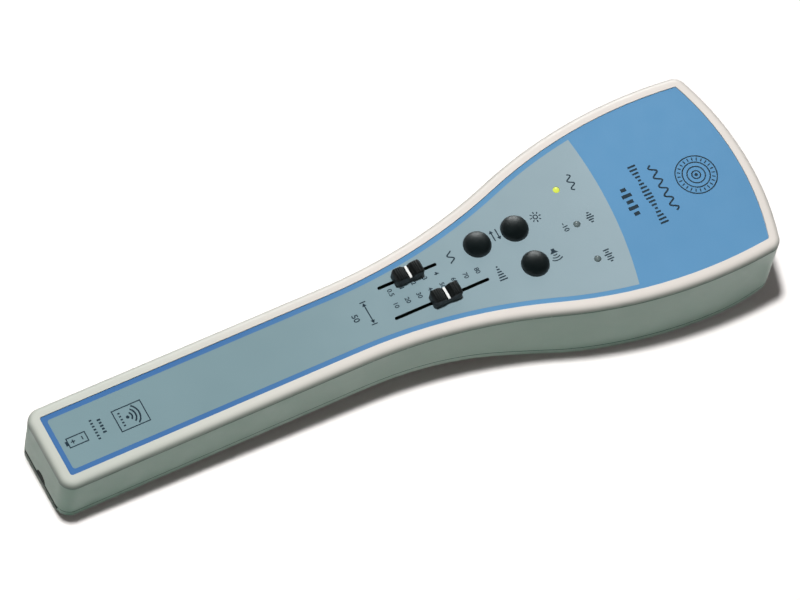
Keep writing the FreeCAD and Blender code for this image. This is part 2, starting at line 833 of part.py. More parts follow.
def front_overlay():
    body = new_body("front_overlay")
    sheet_outline = outline_sketch(body, "sheet_outline", [-size.overlay_gap], -size.pocket_depth)
    pad(body, "sheet", sheet_outline, size.overlay_thickness)
    pocket(body, "holes", panel_openings(body, "hole_outlines", size.overlay_gap), size.pocket_depth)
    return body


def battery_door():
    body = new_body("battery_door")
    plate = sketch_on(body, "plate_outline", level=-size.handle_depth)
    rectangle(plate, -size.rim_width, -size.door_half_width, size.door_reach, size.door_half_width)
    pad(body, "plate", plate, size.door_thickness)
    round_edges(body, "end_foot", size.bottom_bevel, is_end_foot, kind="Chamfer")
    tongue = sketch_on(body, "tongue_outline", level=-size.door_level)
    tongue_end = size.door_reach + size.door_tongue
    rectangle(tongue, size.tongue_start, -size.tongue_half_width, tongue_end, size.tongue_half_width)
    pad(body, "tongue", tongue, size.tongue_thickness, down=True)
    grip = sketch_on(body, "grip_outline", level=-size.handle_depth)
    for number in range(int(size.grip_count)):
        x = size.grip_start + size.grip_pitch * number
        rectangle(grip, x, -size.grip_half_length, x + size.grip_width, size.grip_half_length)
    pocket(body, "grip", grip, size.grip_depth, up=True)
    return body


def is_upright(edge):
    box = edge.BoundBox
    return box.ZLength > HAIR and box.XLength + box.YLength < HAIR


def is_end_foot(edge):
    """True for the lower edge of the door's outer end."""
    box = edge.BoundBox
    return near(box.ZMax, -float(size.handle_depth)) and near(box.XMax, -float(size.rim_width))


# ---- battery bay ----------------------------------------------------------------------------------------


def aa_cell(label):
    """One AA cell along X with its plus end at the far side and its minus end at the origin."""
    body = new_body(label)
    can = size.cell_length - size.nub_length
    profile = sketch_on(body, "profile", "XZ_Plane")
    trace(profile, [
        (0.0, 0.0),
        (0.0, size.cell_radius),
        (can, size.cell_radius),
        (can, size.nub_radius),
        (size.cell_length, size.nub_radius),
        (size.cell_length, 0.0),
    ])
    turn(body, "cell", profile, "H_Axis")
    return body


def contact_plate(label, x, low, high):
    """A spring-steel plate that stands against the bay's end wall."""
    body = new_body(label)
    sketch = sketch_on(body, "plate_outline", "YZ_Plane", x)
    foot = -size.cell_depth - size.contact_reach
    rectangle(sketch, low, foot, high, size.contact_reach - size.cell_depth)
    pad(body, "plate", sketch, size.contact_thickness)
    return body


def contact_leaf():
    """A bent leaf spring that stands on its plate along X and presses the cell's minus end."""
    body = new_body("leaf_pattern")
    foot = size.contact_reach
    crest = size.spring_length - size.contact_gap
    skin = size.contact_thickness
    flat = size.nub_radius / 2.0
    side = sketch_on(body, "side_view", "XZ_Plane")
    trace(side, [
        (0.0, -foot),
        (crest, -flat),
        (crest, flat),
        (0.0, foot),
        (0.0, foot - skin * 2.0),
        (crest - skin, flat - skin / 2.0),
        (crest - skin, skin / 2.0 - flat),
        (0.0, skin * 2.0 - foot),
    ])
    pad(body, "leaf", side, size.nub_radius * 2.0, both_ways=True)
    return body


# ---- main board and what stands on it -------------------------------------------------------------------


def main_board():
    body = new_body("main_board")
    board = outline_sketch(body, "board_outline", [size.board_offset], -size.board_level)
    pad(body, "board", board, size.board_thickness, down=True)
    ends = sketch_on(body, "end_outlines")
    rectangle(ends, -size.head_end, -size.head_end, size.board_start, size.head_end)
    rectangle(ends, size.board_end, -size.head_end, size.head_end * 2.0, size.head_end)
    pocket(body, "ends", ends)
    clear = size.stake_half_width + size.screw_hole_gap
    pocket(body, "holes", squares(body, "hole_outlines", 0.0, both_sides(BOARD_PINS), clear))
    return body


def fader(label, y, length):
    """The sheet-metal channel of a slide control. It stands on the board and is open underneath."""
    body = new_body(label)
    top = size.fader_height - size.board_level
    start = size.slot_start - size.fader_margin
    end = size.slot_start + length + size.fader_margin
    half = size.fader_width / 2.0
    skin = size.fader_sheet
    case = sketch_on(body, "case_outline", level=top)
    rectangle(case, start, y - half, end, y + half)
    pad(body, "case", case, size.fader_height, down=True)
    room = sketch_on(body, "room_outline", level=top - skin)
    rectangle(room, start + skin, y - half + skin, end - skin, y + half - skin)
    pocket(body, "room", room)
    slot = sketch_on(body, "slot_outline", level=top)
    slot_half = size.slot_width / 2.0
    rectangle(slot, size.slot_start, y - slot_half, size.slot_start + length, y + slot_half)
    pocket(body, "slot", slot, skin)
    return body


def carriage(label, x, y):
    """The slider of a fader: a block in the channel and a lever that stands up through the panel."""
    body = new_body(label)
    half = size.fader_width / 2.0 - size.fader_sheet - size.fader_gap
    low = size.fader_gap - size.board_level
    high = size.fader_height - size.fader_sheet - size.fader_gap - size.board_level
    block = sketch_on(body, "block_outline", level=low)
    reach = size.carriage_length / 2.0
    rectangle(block, x - reach, y - half, x + reach, y + half)
    pad(body, "block", block, high - low)
    lever = sketch_on(body, "lever_outline", level=high)
    lever_half = size.lever_length / 2.0
    lever_side = size.lever_width / 2.0
    rectangle(lever, x - lever_half, y - lever_side, x + lever_half, y + lever_side)
    pad(body, "lever", lever, size.cap_level + size.fader_cap_socket - high)
    return body


def fader_cap(label, x, y):
    """A saddle-shaped cap: two finger ramps that fall to a narrow valley in the middle."""
    body = new_body(label)
    reach = size.fader_cap_length / 2.0
    foot = size.cap_level
    shoulder = foot + size.fader_cap_shoulder
    crest = foot + size.fader_cap_height
    crest_reach = reach - size.fader_cap_crown
    valley = foot + size.fader_cap_valley
    flat = size.fader_cap_flat / 2.0
    side = sketch_on(body, "side_view", "XZ_Plane", -y)
    trace(side, [
        (x - reach, foot),
        (x + reach, foot),
        (x + reach, shoulder),
        (x + crest_reach, crest, size.fader_cap_nose),
        (x + flat, valley, -size.fader_cap_scoop),
        (x - flat, valley),
        (x - crest_reach, crest, -size.fader_cap_scoop),
        (x - reach, shoulder, size.fader_cap_nose),
    ])
    pad(body, "cap", side, size.fader_cap_width, both_ways=True)
    socket = sketch_on(body, "socket_outline", level=foot)
    lever_half = size.lever_length / 2.0
    lever_side = size.lever_width / 2.0
    rectangle(socket, x - lever_half, y - lever_side, x + lever_half, y + lever_side)
    pocket(body, "socket", socket, size.fader_cap_socket, up=True)
    return body


def key_cap(label):
    """A round bevelled key with two ears that stop it under the panel and a square socket below."""
    body = new_body(label)
    foot = -size.plate_level - size.ear_thickness
    profile = sketch_on(body, "profile", "XZ_Plane")
    trace(profile, [
        (0.0, foot),
        (size.key_radius, foot),
        (size.key_radius, size.key_height - size.key_crown),
        (size.key_radius - size.key_rounding, size.key_height),
        (0.0, size.key_height),
    ])
    turn(body, "key", profile)
    ears = sketch_on(body, "ear_outlines", level=foot)
    reach = size.key_radius + size.ear_reach
    half = size.plunger_half_width
    rectangle(ears, -reach, -half, reach, half)
    pad(body, "ears", ears, size.ear_thickness)
    socket = sketch_on(body, "socket_outline", level=foot)
    rectangle(socket, -half, -half, half, half)
    pocket(body, "socket", socket, size.plunger_grip, up=True)
    return body


def plunger(label):
    """The square pin between a key and its switch, up from the origin."""
    body = new_body(label)
    outline = sketch_on(body, "plunger_outline")
    half = size.plunger_half_width
    rectangle(outline, -half, -half, half, half)
    pad(body, "plunger", outline, size.plunger_length)
    return body


def key_switch(label):
    """A square push switch with a square well for its plunger."""
    body = new_body(label)
    half = size.switch_width / 2.0
    case = sketch_on(body, "case_outline")
    rectangle(case, -half, -half, half, half)
    pad(body, "case", case, size.switch_height)
    round_edges(body, "corners", size.switch_chamfer, is_upright, kind="Chamfer")
    well = sketch_on(body, "well_outline", level=size.switch_height)
    clear = size.plunger_half_width + size.plunger_gap
    rectangle(well, -clear, -clear, clear, clear)
    pocket(body, "well", well, size.switch_height - size.switch_base)
    return body


def indicator_lamp(label):
    """A round lamp with its tip at the origin and two legs that reach down to the board."""
    body = new_body(label)
    top = sketch_on(body, "lamp_outline")
    circle(top, 0.0, 0.0, size.lamp_radius)
    pad(body, "lamp", top, size.lamp_length, down=True)
    legs = sketch_on(body, "leg_outlines", level=-size.lamp_length)
    for side in (1.0, -1.0):
        middle = size.leg_pitch / 2.0 * side
        half = size.leg_half_width
        rectangle(legs, middle - half, -half, middle + half, half)
    pad(body, "legs", legs, size.board_level + size.lamp_rise - size.lamp_length, down=True)
    return body


# ---- loudspeaker and reward light -----------------------------------------------------------------------

# The loudspeaker's own height is counted from its seat on the belly's floor, the reward light's from the
# ground plane under it.


def speaker_seat(body):
    """Four hooks that hold the loudspeaker's flange and the grille of slots under it."""
    nose_top = size.flange_top + size.hook_thickness
    near_side = size.speaker_radius + size.speaker_gap
    far_side = near_side + size.hook_thickness
    half = size.hook_width / 2.0
    posts = sketch_on_belly(body, "hook_outlines", size.speaker_x, size.seat_lift + nose_top)
    noses = sketch_on_belly(body, "nose_outlines", size.speaker_x, size.seat_lift + nose_top)
    nose_side = near_side - size.hook_bite
    for side in (1.0, -1.0):
        span(posts, near_side * side, far_side * side, half)
        span(posts, near_side * side, far_side * side, half, across=True)
        span(noses, nose_side * side, far_side * side, half)
        span(noses, nose_side * side, far_side * side, half, across=True)
    pad(body, "hooks", posts, nose_top + size.floor_thickness / 2.0, down=True)
    pad(body, "hook_noses", noses, size.hook_thickness, down=True)
    grille = sketch_on_belly(body, "grille_outline", size.speaker_x, size.seat_lift)
    slot_half = size.grille_slot / 2.0
    rows = int(size.grille_rows)
    for row in range(-rows, rows + 1):
        y = size.grille_pitch * row
        half_length = root(size.grille_radius * size.grille_radius - y * y)
        rectangle(grille, -half_length, y - slot_half, half_length, y + slot_half)
    pocket(body, "grille", grille, size.floor_thickness * 2.0)


def span(sketch, inner, outer, half, across=False):
    """A rectangle from inner to outer along X, or along Y if it lies across."""
    low = inner if inner < outer else outer
    high = outer if inner < outer else inner
    if across:
        rectangle(sketch, -half, low, half, high)
    else:
        rectangle(sketch, low, -half, high, half)


def reward_seat(body):
    """A stepped hole for the lens and two posts for the lamp's board."""
    seat = sketch_on_belly(body, "lens_seat_outline", size.reward_x, size.lens_step)
    circle(seat, 0.0, 0.0, size.lens_radius + size.speaker_gap)
    pocket(body, "lens_seat", seat, size.floor_thickness * 2.0, up=True)
    hole = sketch_on_belly(body, "lens_hole_outline", size.reward_x, size.lens_step)
    circle(hole, 0.0, 0.0, size.reward_radius)
    pocket(body, "lens_hole", hole, size.floor_thickness * 2.0)
    posts = sketch_on_belly(body, "lamp_post_outlines", size.reward_x, size.reward_height)
    half = size.lamp_post_half_width
    for side in (1.0, -1.0):
        middle = size.lamp_post_y * side
        rectangle(posts, -half, middle - half, half, middle + half)
    pad(body, "lamp_posts", posts, size.reward_height - size.lens_step, down=True)


def speaker_basket():
    """A pressed steel pan: its flange, its round wall and the back that carries the magnet."""
    body = new_body("speaker_basket")
    low = size.flange_low
    skin = size.basket_sheet
    top = size.magnet_low
    profile = sketch_on(body, "profile", "XZ_Plane")
    trace(profile, [
        (size.pan_radius - skin, low),
        (size.speaker_radius, low),
        (size.speaker_radius, low + skin),
        (size.pan_radius, low + skin),
        (size.pan_radius, top),
        (0.0, top),
        (0.0, top - skin),
        (size.pan_radius - skin, top - skin),
    ])
    turn(body, "basket", profile)
    return body


def speaker_cone():
    """The thin diaphragm with its raised centre and its rim between the floor and the basket's flange."""
    body = new_body("speaker_cone")
    skin = size.cone_skin
    rim = sketch_on(body, "rim_outline")
    circle(rim, 0.0, 0.0, size.speaker_radius - size.cone_gap)
    pad(body, "rim", rim, skin)
    dome = sketch_on(body, "dome_outline", level=skin)
    circle(dome, 0.0, 0.0, size.dome_radius)
    pad(body, "dome", dome, size.dome_rise)
    return body


def disc(label, radius, thickness):
    item = doc.addObject("Part::Cylinder", label)
    item.Label = label
    bind(item, "Radius", radius)
    bind(item, "Height", thickness)
    return item


def reward_board():
    body = new_body("reward_board")
    half_width = size.lamp_post_half_width * 2.0
    half_length = size.lamp_post_y + size.lamp_post_half_width
    board = sketch_on(body, "board_outline", level=size.reward_height)
    rectangle(board, -half_width, -half_length, half_width, half_length)
    pad(body, "board", board, size.board_thickness)
    return body


# ---- screws ---------------------------------------------------------------------------------------------


def screw(label, length):
    """A screw with its head below the origin and its shank up."""
    body = new_body(label)
    profile = sketch_on(body, "profile", "XZ_Plane")
    trace(profile, [
        (0.0, -size.screw_head_height),
        (size.screw_head_radius, -size.screw_head_height),
        (size.screw_head_radius, 0.0),
        (size.screw_radius, 0.0),
        (size.screw_radius, length),
        (0.0, length),
    ])
    turn(body, "screw", profile)
    return body


# ---- everything in its place ----------------------------------------------------------------------------

PIECES = []
UPRIGHT = Rotation()
TURNED = Rotation(Vector(0, 0, 1), 180.0)
UPSIDE_DOWN = Rotation(Vector(1, 0, 0), 180.0)


def put(item, x=0.0, y=0.0, z=0.0, rotation=UPRIGHT, base=Placement()):
    """Notes where a sub-part goes, counted from base."""
    PIECES.append((item, base.multiply(Placement(Vector(float(x), float(y), float(z)), rotation))))


def group(label, pattern, spots):
    """One sub-part of several equal solids: the pattern's shape at every spot."""
    doc.recompute()
    item = doc.addObject("Part::Feature", label)
    item.Label = label
    item.Shape = Part.makeCompound([pattern.Shape.transformed(spot.toMatrix()) for spot in spots])
    PIECES.append((item, Placement()))


def spot(x, y, z, rotation=UPRIGHT, base=Placement()):
    return base.multiply(Placement(Vector(float(x), float(y), float(z)), rotation))


def belly_frame(x, lift):
    """The place parallel to the ground, lift above it, over the point x."""
    corner = Vector(float(x + lift * size.tilt_sine), 0.0, float(ground_at(x) + lift * size.tilt_cosine))
    return Placement(corner, Rotation(Vector(0, 1, 0), float(size.rest_tilt)))


def housing_pieces():
    for item in (upper_housing(), lower_cover(), front_overlay(), battery_door()):
        put(item)
    length = size.seat_thickness + size.screw_grip - size.screw_tip_gap
    pattern = screw("housing_screw", length)
    places = both_sides(HOUSING_SCREWS)
    group("housing_screws", pattern, [spot(x, y, -size.screw_seat_level) for x, y in places])


def battery_pieces():
    near_end = size.bay_start + size.contact_thickness
    far_end = size.bay_end - size.contact_thickness
    depth = -size.cell_depth
    side = size.cell_offset
    put(aa_cell("left_cell"), near_end + size.spring_length, side, depth)
    put(aa_cell("right_cell"), far_end - size.spring_length, -side, depth, TURNED)
    reach = size.contact_reach
    put(contact_plate("bridge_contact", size.bay_start, -side - reach, side + reach))
    put(contact_plate("plus_contact", far_end, side - reach, side + reach))
    put(contact_plate("minus_contact", far_end, -side - reach, -side + reach))
    springs = [spot(near_end, side, depth), spot(far_end, -side, depth, TURNED)]
    group("contact_springs", contact_leaf(), springs)


def board_pieces():
    put(main_board())
    for name, (y, length, setting) in FADERS.items():
        put(fader(f"{name}_fader", y, length))
        put(carriage(f"{name}_carriage", setting, y))
        put(fader_cap(f"{name}_cap", setting, y))
    for name, (x, y) in KEYS.items():
        put(key_cap(f"{name}_key"), x, y)
        put(plunger(f"{name}_plunger"), x, y, -size.plunger_foot)
        put(key_switch(f"{name}_switch"), x, y, -size.board_level)
    for name, y in LAMPS.items():
        put(indicator_lamp(f"{name}_lamp"), size.lamp_x, y, size.lamp_rise)
    under_board()


def under_board():
    """The circuits on the underside of the board."""
    box_chip("controller_chip", size.controller_x, size.controller_width, size.controller_width)
    box_chip("amplifier_chip", size.amplifier_x, size.amplifier_length, size.amplifier_width)
    can = doc.addObject("Part::Cylinder", "capacitor_pattern")
    bind(can, "Radius", size.capacitor_radius)
    bind(can, "Height", size.capacitor_height)
    foot = -size.board_underside - size.capacitor_height
    places = [spot(size.capacitor_x, size.capacitor_pitch * row, foot) for row in (1.0, -1.0)]
    group("capacitors", can, places)


def box_chip(label, x, length, width):
    """A flat component, centred on the board's middle line."""
    item = doc.addObject("Part::Box", label)
    item.Label = label
    bind(item, "Length", length)
    bind(item, "Width", width)
    bind(item, "Height", size.chip_thickness)
    put(item, x, -width / 2.0, -size.board_underside - size.chip_thickness)


def speaker_pieces():
    seat = belly_frame(size.speaker_x, size.seat_lift)
    put(speaker_cone(), base=seat)
    put(speaker_basket(), base=seat)
    thickness = size.speaker_height - size.magnet_low
    put(disc("speaker_magnet", size.magnet_radius, thickness), z=size.magnet_low, base=seat)


def reward_pieces():
    ground = belly_frame(size.reward_x, as_size(0.0))
    lens = disc("reward_lens", size.lens_radius, size.lens_thickness)
    put(lens, z=size.lens_step, base=ground)
    put(reward_board(), base=ground)
    lamp = disc("reward_lamp", size.reward_lamp_radius, size.reward_lamp_length)
    put(lamp, z=size.reward_height - size.reward_lamp_length, base=ground)


def check(pieces):
    """Stops on a failed object, an empty or broken shape, or a cut that takes nothing away."""
    for item in doc.Objects:
        if "Invalid" in item.State or "Error" in item.State:
            raise RuntimeError(f"{item.Label} failed: {item.getStatusString()}")
        if item.TypeId == "PartDesign::Pocket":
            taken = item.BaseFeature.Shape.Volume - item.Shape.Volume
            if taken < HAIR:
                raise RuntimeError(f"{item.Label} in {item.getParent().Label} cuts nothing")
    for item, _ in pieces:
        if item.Shape.isNull() or not item.Shape.isValid() or not item.Shape.Solids:
            raise RuntimeError(f"{item.Label} has no sound shape")


def lay_down(pieces):
    """Turns every piece with the rest tilt, stands it on the ground and centres it on the origin."""
    tilt = Rotation(Vector(0, 1, 0), -float(size.rest_tilt))
    rise = Placement(Vector(0, 0, float(size.ground_depth)), tilt)
    boxes = []
    for item, place in pieces:
        item.Placement = rise.multiply(place)
        boxes.append(item.Shape.optimalBoundingBox(True, False))
    low = min(box.XMin for box in boxes)
    high = max(box.XMax for box in boxes)
    centred = Placement(Vector(-(low + high) / 2.0, 0, 0), Rotation()).multiply(rise)
    for item, place in pieces:
        item.Placement = centred.multiply(place)


housing_pieces()
battery_pieces()
board_pieces()
speaker_pieces()
reward_pieces()
doc.recompute()
check(PIECES)
lay_down(PIECES)
doc.recompute()

os.makedirs("parts", exist_ok=True)
for item, _ in PIECES:
    item.Shape.exportStep(f"parts/{item.Label}.step")
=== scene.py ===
from math import atan2, cos, exp, hypot, pi, radians, sin, sqrt

import bmesh
import bpy
from mathutils import Matrix, Vector

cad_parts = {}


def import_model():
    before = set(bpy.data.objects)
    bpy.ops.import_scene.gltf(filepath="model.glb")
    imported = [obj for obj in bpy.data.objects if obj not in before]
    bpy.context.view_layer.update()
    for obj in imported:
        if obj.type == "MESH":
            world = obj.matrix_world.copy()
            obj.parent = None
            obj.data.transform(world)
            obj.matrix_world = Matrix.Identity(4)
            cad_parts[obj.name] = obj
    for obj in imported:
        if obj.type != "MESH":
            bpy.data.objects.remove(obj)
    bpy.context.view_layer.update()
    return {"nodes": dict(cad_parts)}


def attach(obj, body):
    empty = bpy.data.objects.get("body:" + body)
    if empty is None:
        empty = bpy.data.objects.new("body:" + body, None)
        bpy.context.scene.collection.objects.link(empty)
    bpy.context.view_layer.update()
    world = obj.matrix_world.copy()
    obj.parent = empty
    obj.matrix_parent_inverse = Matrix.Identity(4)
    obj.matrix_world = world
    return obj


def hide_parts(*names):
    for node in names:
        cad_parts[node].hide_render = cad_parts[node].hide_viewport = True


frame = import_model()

# Pieces are drawn in millimetres, most of them in the panel's frame: X runs from the handle's end to the
# head, Y across, and height 0 is the rim's top. PANEL puts such a drawing in its place in the row frame.
MM = 0.001
TILT = radians(2.6)
PANEL_ORIGIN = (-0.1646436, 0.0, 0.0301052)
LIE_DOWN = Matrix.Translation(PANEL_ORIGIN) @ Matrix.Rotation(-TILT, 4, "Y")
PANEL = LIE_DOWN @ Matrix.Scale(MM, 4)
ROW = Matrix.Scale(MM, 4)
SIDES = (1.0, -1.0)

# The panel's club-shaped pocket. The walls' outline and the printed zone are offset from it.
HANDLE_HALF = 14.8
HEAD_HALF = 42.4
HEAD_X = 297.0
HEAD_RADIUS = 218.0
NECK_RADIUS = 265.0
POCKET_END = 328.0
END_RADIUS = 129.0
END_MIDDLE = POCKET_END - END_RADIUS
POCKET_CORNER = 1.2
RIM_WIDTH = 5.0

# The underside, seen from the side.
HANDLE_DEPTH = 30.0
COVER_DEPTH = 5.0
BOTTOM_BEVEL = 2.0
THROAT_RADIUS = 200.0
BELLY_RADIUS = 200.0
BELLY_START = 238.0
BELLY_END = 297.0
NOSE_RADIUS = 66.0

# The overlay and its openings. Keys and faders are at (x, y); a fader's third number is its slot's length.
OVERLAY_FACE = -0.4
INK_THICKNESS = 0.02
ZONE_LEVEL = OVERLAY_FACE + 0.03
INK_LEVEL = OVERLAY_FACE + 0.06
ZONE_INSET = 2.4
FINE_LINE = 0.5
KEYS = {"select": (205.5, 9.3), "light": (223.7, 9.3), "stimulus": (223.7, -9.3)}
KEY_RADIUS = 6.1
KEY_HOLE = 6.35
FADERS = {"frequency": (171.0, 8.6, 28.6), "level": (181.0, -7.2, 45.6)}
SLOT_START = 156.7
SLOT_WIDTH = 1.6
LAMPS = {"tone": 18.4, "noise": 0.0, "warble": -18.4}
LAMP_X = 249.2
LAMP_RADIUS = 1.5
LAMP_HOLE = 1.6

# The main board's lower face.
BOARD_FOOT = -13.6


# ---- colours and materials ----


FINISHES = {}
EVEN = (1.0, 1.0, 1.0)


def tone(red, green, blue):
    """Linear colour of an 8-bit screen colour."""
    shares = [c / 255.0 for c in (red, green, blue)]
    return tuple(((c + 0.055) / 1.055) ** 2.4 if c > 0.04 else c / 12.92 for c in shares) + (1.0,)


class Finish:
    """A node material and short ways to add to it. Sizes are in millimetres."""

    def __init__(self, name, colour, roughness, **sockets):
        FINISHES[name] = self
        self.material = bpy.data.materials.new(name)
        self.material.use_nodes = True
        self.material.diffuse_color = colour
        self.nodes = self.material.node_tree.nodes
        self.links = self.material.node_tree.links
        self.shader = self.nodes["Principled BSDF"]
        self.place = self.nodes.new("ShaderNodeTexCoord").outputs["Object"]
        self.shader.inputs["Base Color"].default_value = colour
        self.shader.inputs["Roughness"].default_value = roughness
        for socket, value in sockets.items():
            self.put(value, self.shader.inputs[socket.replace("_", " ")])
        self.colour = colour
        self.normal = None

    def put(self, value, socket):
        """Links a node's output to a socket, or gives the socket a plain value."""
        if isinstance(value, bpy.types.NodeSocket):
            self.links.new(value, socket)
        else:
            socket.default_value = value

    def add(self, kind, settings=(), **values):
        node = self.nodes.new("ShaderNode" + kind)
        for name, value in dict(settings).items():
            setattr(node, name, value)
        for name, value in values.items():
            self.put(value, node.inputs[name.replace("_", " ")])
        return node

    def pair(self, kind, operation, first, second):
        """A maths node with two inputs."""
        node = self.add(kind, {"operation": operation})
        self.put(first, node.inputs[0])
        self.put(second, node.inputs[1])
        return node.outputs["Value"]

    def noise(self, size, detail, stretch=EVEN):
        """Noise from 0 to 1 whose features are about size wide."""
        place = self.add("Mapping", Vector=self.place, Scale=stretch).outputs["Vector"]
        return self.add("TexNoise", Vector=place, Scale=1.0 / (size * MM), Detail=detail).outputs["Fac"]

    def ramp(self, value, low, high, start=0.35, end=0.65, kind="LINEAR"):
        """Passes from low to high while value goes from start to end."""
        limits = {"From_Min": start, "From_Max": end, "To_Min": low, "To_Max": high}
        return self.add("MapRange", {"interpolation_type": kind}, Value=value, **limits).outputs["Result"]

    def blend(self, factor, first, second):
        node = self.add("Mix", {"data_type": "RGBA"}, Factor=factor)
        self.put(first, node.inputs[6])
        self.put(second, node.inputs[7])
        return node.outputs[2]

    def mix(self, factor, other):
        """Lets the colour pass to other as factor goes from 0 to 1."""
        self.colour = self.blend(factor, self.colour, other)
        return self

    def scaled(self, light):
        """Multiplies the colour by light."""
        node = self.add("VectorMath", {"operation": "SCALE"}, Scale=light)
        self.put(self.colour[:3] if isinstance(self.colour, tuple) else self.colour, node.inputs[0])
        self.colour = node.outputs["Vector"]
        return self

    def mottle(self, other, size, start=0.35, end=0.65, stretch=EVEN):
        """Lets the colour drift to other in soft patches."""
        return self.mix(self.ramp(self.noise(size, 3.0, stretch), 0.0, 1.0, start, end), other)

    def cloudy(self, share, size):
        """Darkens the colour in soft patches by up to the given share."""
        return self.scaled(self.ramp(self.noise(size, 3.0), 1.0 - share, 1.0))

    def fade(self, other, start, end):
        """Paints light along the device: the colour passes to other from row x = start to x = end."""
        along = self.add("SeparateXYZ", Vector=self.place).outputs["X"]
        return self.mix(self.ramp(along, 0.0, 1.0, start * MM, end * MM, "SMOOTHSTEP"), other)

    def rim_shade(self, share, foot, wall):
        """Paints shade on the rim's rounding: darkens it by up to share at its foot, and ends that between
        the wall heights.
        """
        normal = LIE_DOWN.to_3x3() @ Vector((0.0, 0.0, 1.0))
        height = self.pair("VectorMath", "DOT_PRODUCT", self.place, normal)
        top = LIE_DOWN.translation @ normal
        for (low, high), first in (((foot, 0.0), 1.0 - share), (wall, 1.0 / (1.0 - share))):
            self.scaled(self.ramp(height, first, 1.0, top + low * MM, top + high * MM, "SMOOTHSTEP"))
        return self

    def gloss(self, low, high, size, stretch=EVEN):
        """Lets the roughness vary from low to high in patches."""
        self.links.new(self.ramp(self.noise(size, 3.0, stretch), low, high), self.shader.inputs["Roughness"])
        return self

    def grain(self, size, depth, stretch=EVEN, detail=2.0):
        """A relief of noise."""
        return self.relief(self.noise(size, detail, stretch), depth)

    def relief(self, height, depth):
        bump = self.add("Bump", Height=height, Distance=depth * MM)
        if self.normal:
            self.links.new(self.normal, bump.inputs["Normal"])
        self.normal = bump.outputs["Normal"]
        return self

    def bevel(self, radius):
        return self.add("Bevel", {"samples": 4}, Radius=radius * MM).outputs["Normal"]

    def soften(self, radius):
        """Rounds the light on sharp edges. It comes before grain."""
        self.normal = self.bevel(radius)
        return self

    def wear(self, radius, colour, share):
        """Lets edges narrower than radius show colour."""
        flat = self.add("NewGeometry").outputs["Normal"]
        bend = self.pair("VectorMath", "DOT_PRODUCT", self.bevel(radius), flat)
        return self.mix(self.ramp(bend, share, 0.0, 0.75, 0.98), colour)

    def done(self):
        self.put(self.colour, self.shader.inputs["Base Color"])
        if self.normal:
            self.links.new(self.normal, self.shader.inputs["Normal"])
        return self.material


def metal(name, colour, other, roughness, stretch=EVEN):
    finish = Finish(name, colour, roughness, Metallic=1.0).mottle(other, 3.0, stretch=stretch)
    finish.gloss(roughness - 0.1, roughness + 0.1, 2.0, stretch).grain(0.3, 0.004, stretch)


def ink(name, colour, other):
    """Screen-printed ink: flat and a little uneven."""
    Finish(name, colour, 0.5).mottle(other, 1.2).gloss(0.42, 0.58, 0.8).grain(0.25, 0.003)


def shade(name, colour, other, roughness):
    """A dull line of painted shade: in a narrow gap, and under the rim's rounding."""
    finish = Finish(name, colour, roughness).mottle(other, 3.0)
    finish.gloss(roughness - 0.1, roughness + 0.1, 2.0).grain(0.2, 0.004)


def clear(name, colour, weight, roughness):
    """Cast clear resin, a little cloudy."""
    finish = Finish(name, colour, roughness, Transmission_Weight=weight, IOR=1.5)
    finish.gloss(roughness - 0.04, roughness + 0.1, 1.0).grain(0.5, 0.003)


def glowing(name, colour, light, strength):
    finish = Finish(name, colour, 0.4, Emission_Color=light, Emission_Strength=strength)
    finish.cloudy(0.2, 0.5).grain(0.2, 0.004)


def laminate():
    """Green solder mask over copper tracks that show as a faint relief."""
    finish = Finish("board_laminate", tone(20, 84, 44), 0.34, Coat_Weight=0.3, Coat_Roughness=0.2)
    tracks = finish.add("TexBrick", Vector=finish.place, Scale=140.0, Mortar_Size=0.04, Mortar_Smooth=0.1,
                        Color1=tone(16, 76, 38), Color2=tone(20, 84, 44), Mortar=tone(44, 122, 62))
    finish.colour = tracks.outputs["Color"]
    finish.mottle(tone(14, 66, 34), 8.0, 0.45, 0.8)
    finish.gloss(0.28, 0.42, 2.0).relief(tracks.outputs["Fac"], 0.03).grain(0.4, 0.004)


# Painted light in the housing's colour: darker towards the handle's end, and painted shade at the foot of
# the rim's rounding.
housing = Finish("housing_plastic", tone(198, 202, 194), 0.42).soften(0.25)
housing.fade(tone(224, 218, 212), -165.0, 20.0).cloudy(0.04, 40.0).rim_shade(0.46, -2.1, (-3.9, -3.1))
housing.gloss(0.36, 0.48, 6.0).grain(0.28, 0.014).grain(1.4, 0.014)
housing.wear(0.6, tone(234, 232, 226), 0.25)
# Painted light in the film's colour: darker towards the handle's end.
film = Finish("overlay_film", tone(66, 112, 166), 0.4)
film.fade(tone(93, 146, 188), -110.0, 60.0).cloudy(0.05, 60.0)
film.gloss(0.36, 0.46, 9.0).grain(0.22, 0.006).grain(12.0, 0.02)
# Painted light in the grey zone's colour: darker towards the handle's end.
zone = Finish("zone_ink", tone(122, 148, 155), 0.42)
zone.fade(tone(151, 171, 180), -95.0, 135.0).cloudy(0.05, 60.0)
zone.gloss(0.38, 0.48, 9.0).grain(0.22, 0.006).grain(12.0, 0.02)
cap = Finish("cap_plastic", tone(9, 13, 13), 0.5).soften(0.12).mottle(tone(15, 19, 19), 5.0)
cap.gloss(0.46, 0.6, 2.0).grain(0.18, 0.006).wear(0.25, tone(34, 38, 38), 0.25)
rubber = Finish("key_rubber", tone(9, 17, 18), 0.42).mottle(tone(16, 24, 25), 4.0)
rubber.gloss(0.38, 0.48, 2.5).grain(0.16, 0.008).grain(1.0, 0.006)
nylon = Finish("moving_nylon", tone(216, 214, 203), 0.5, Subsurface_Weight=0.08).soften(0.1)
nylon.mottle(tone(206, 203, 190), 4.0).gloss(0.42, 0.58, 2.0).grain(0.3, 0.005)
switch = Finish("switch_plastic", tone(34, 35, 36), 0.48).soften(0.12).mottle(tone(44, 45, 46), 4.0)
switch.gloss(0.4, 0.58, 2.0).grain(0.2, 0.008)
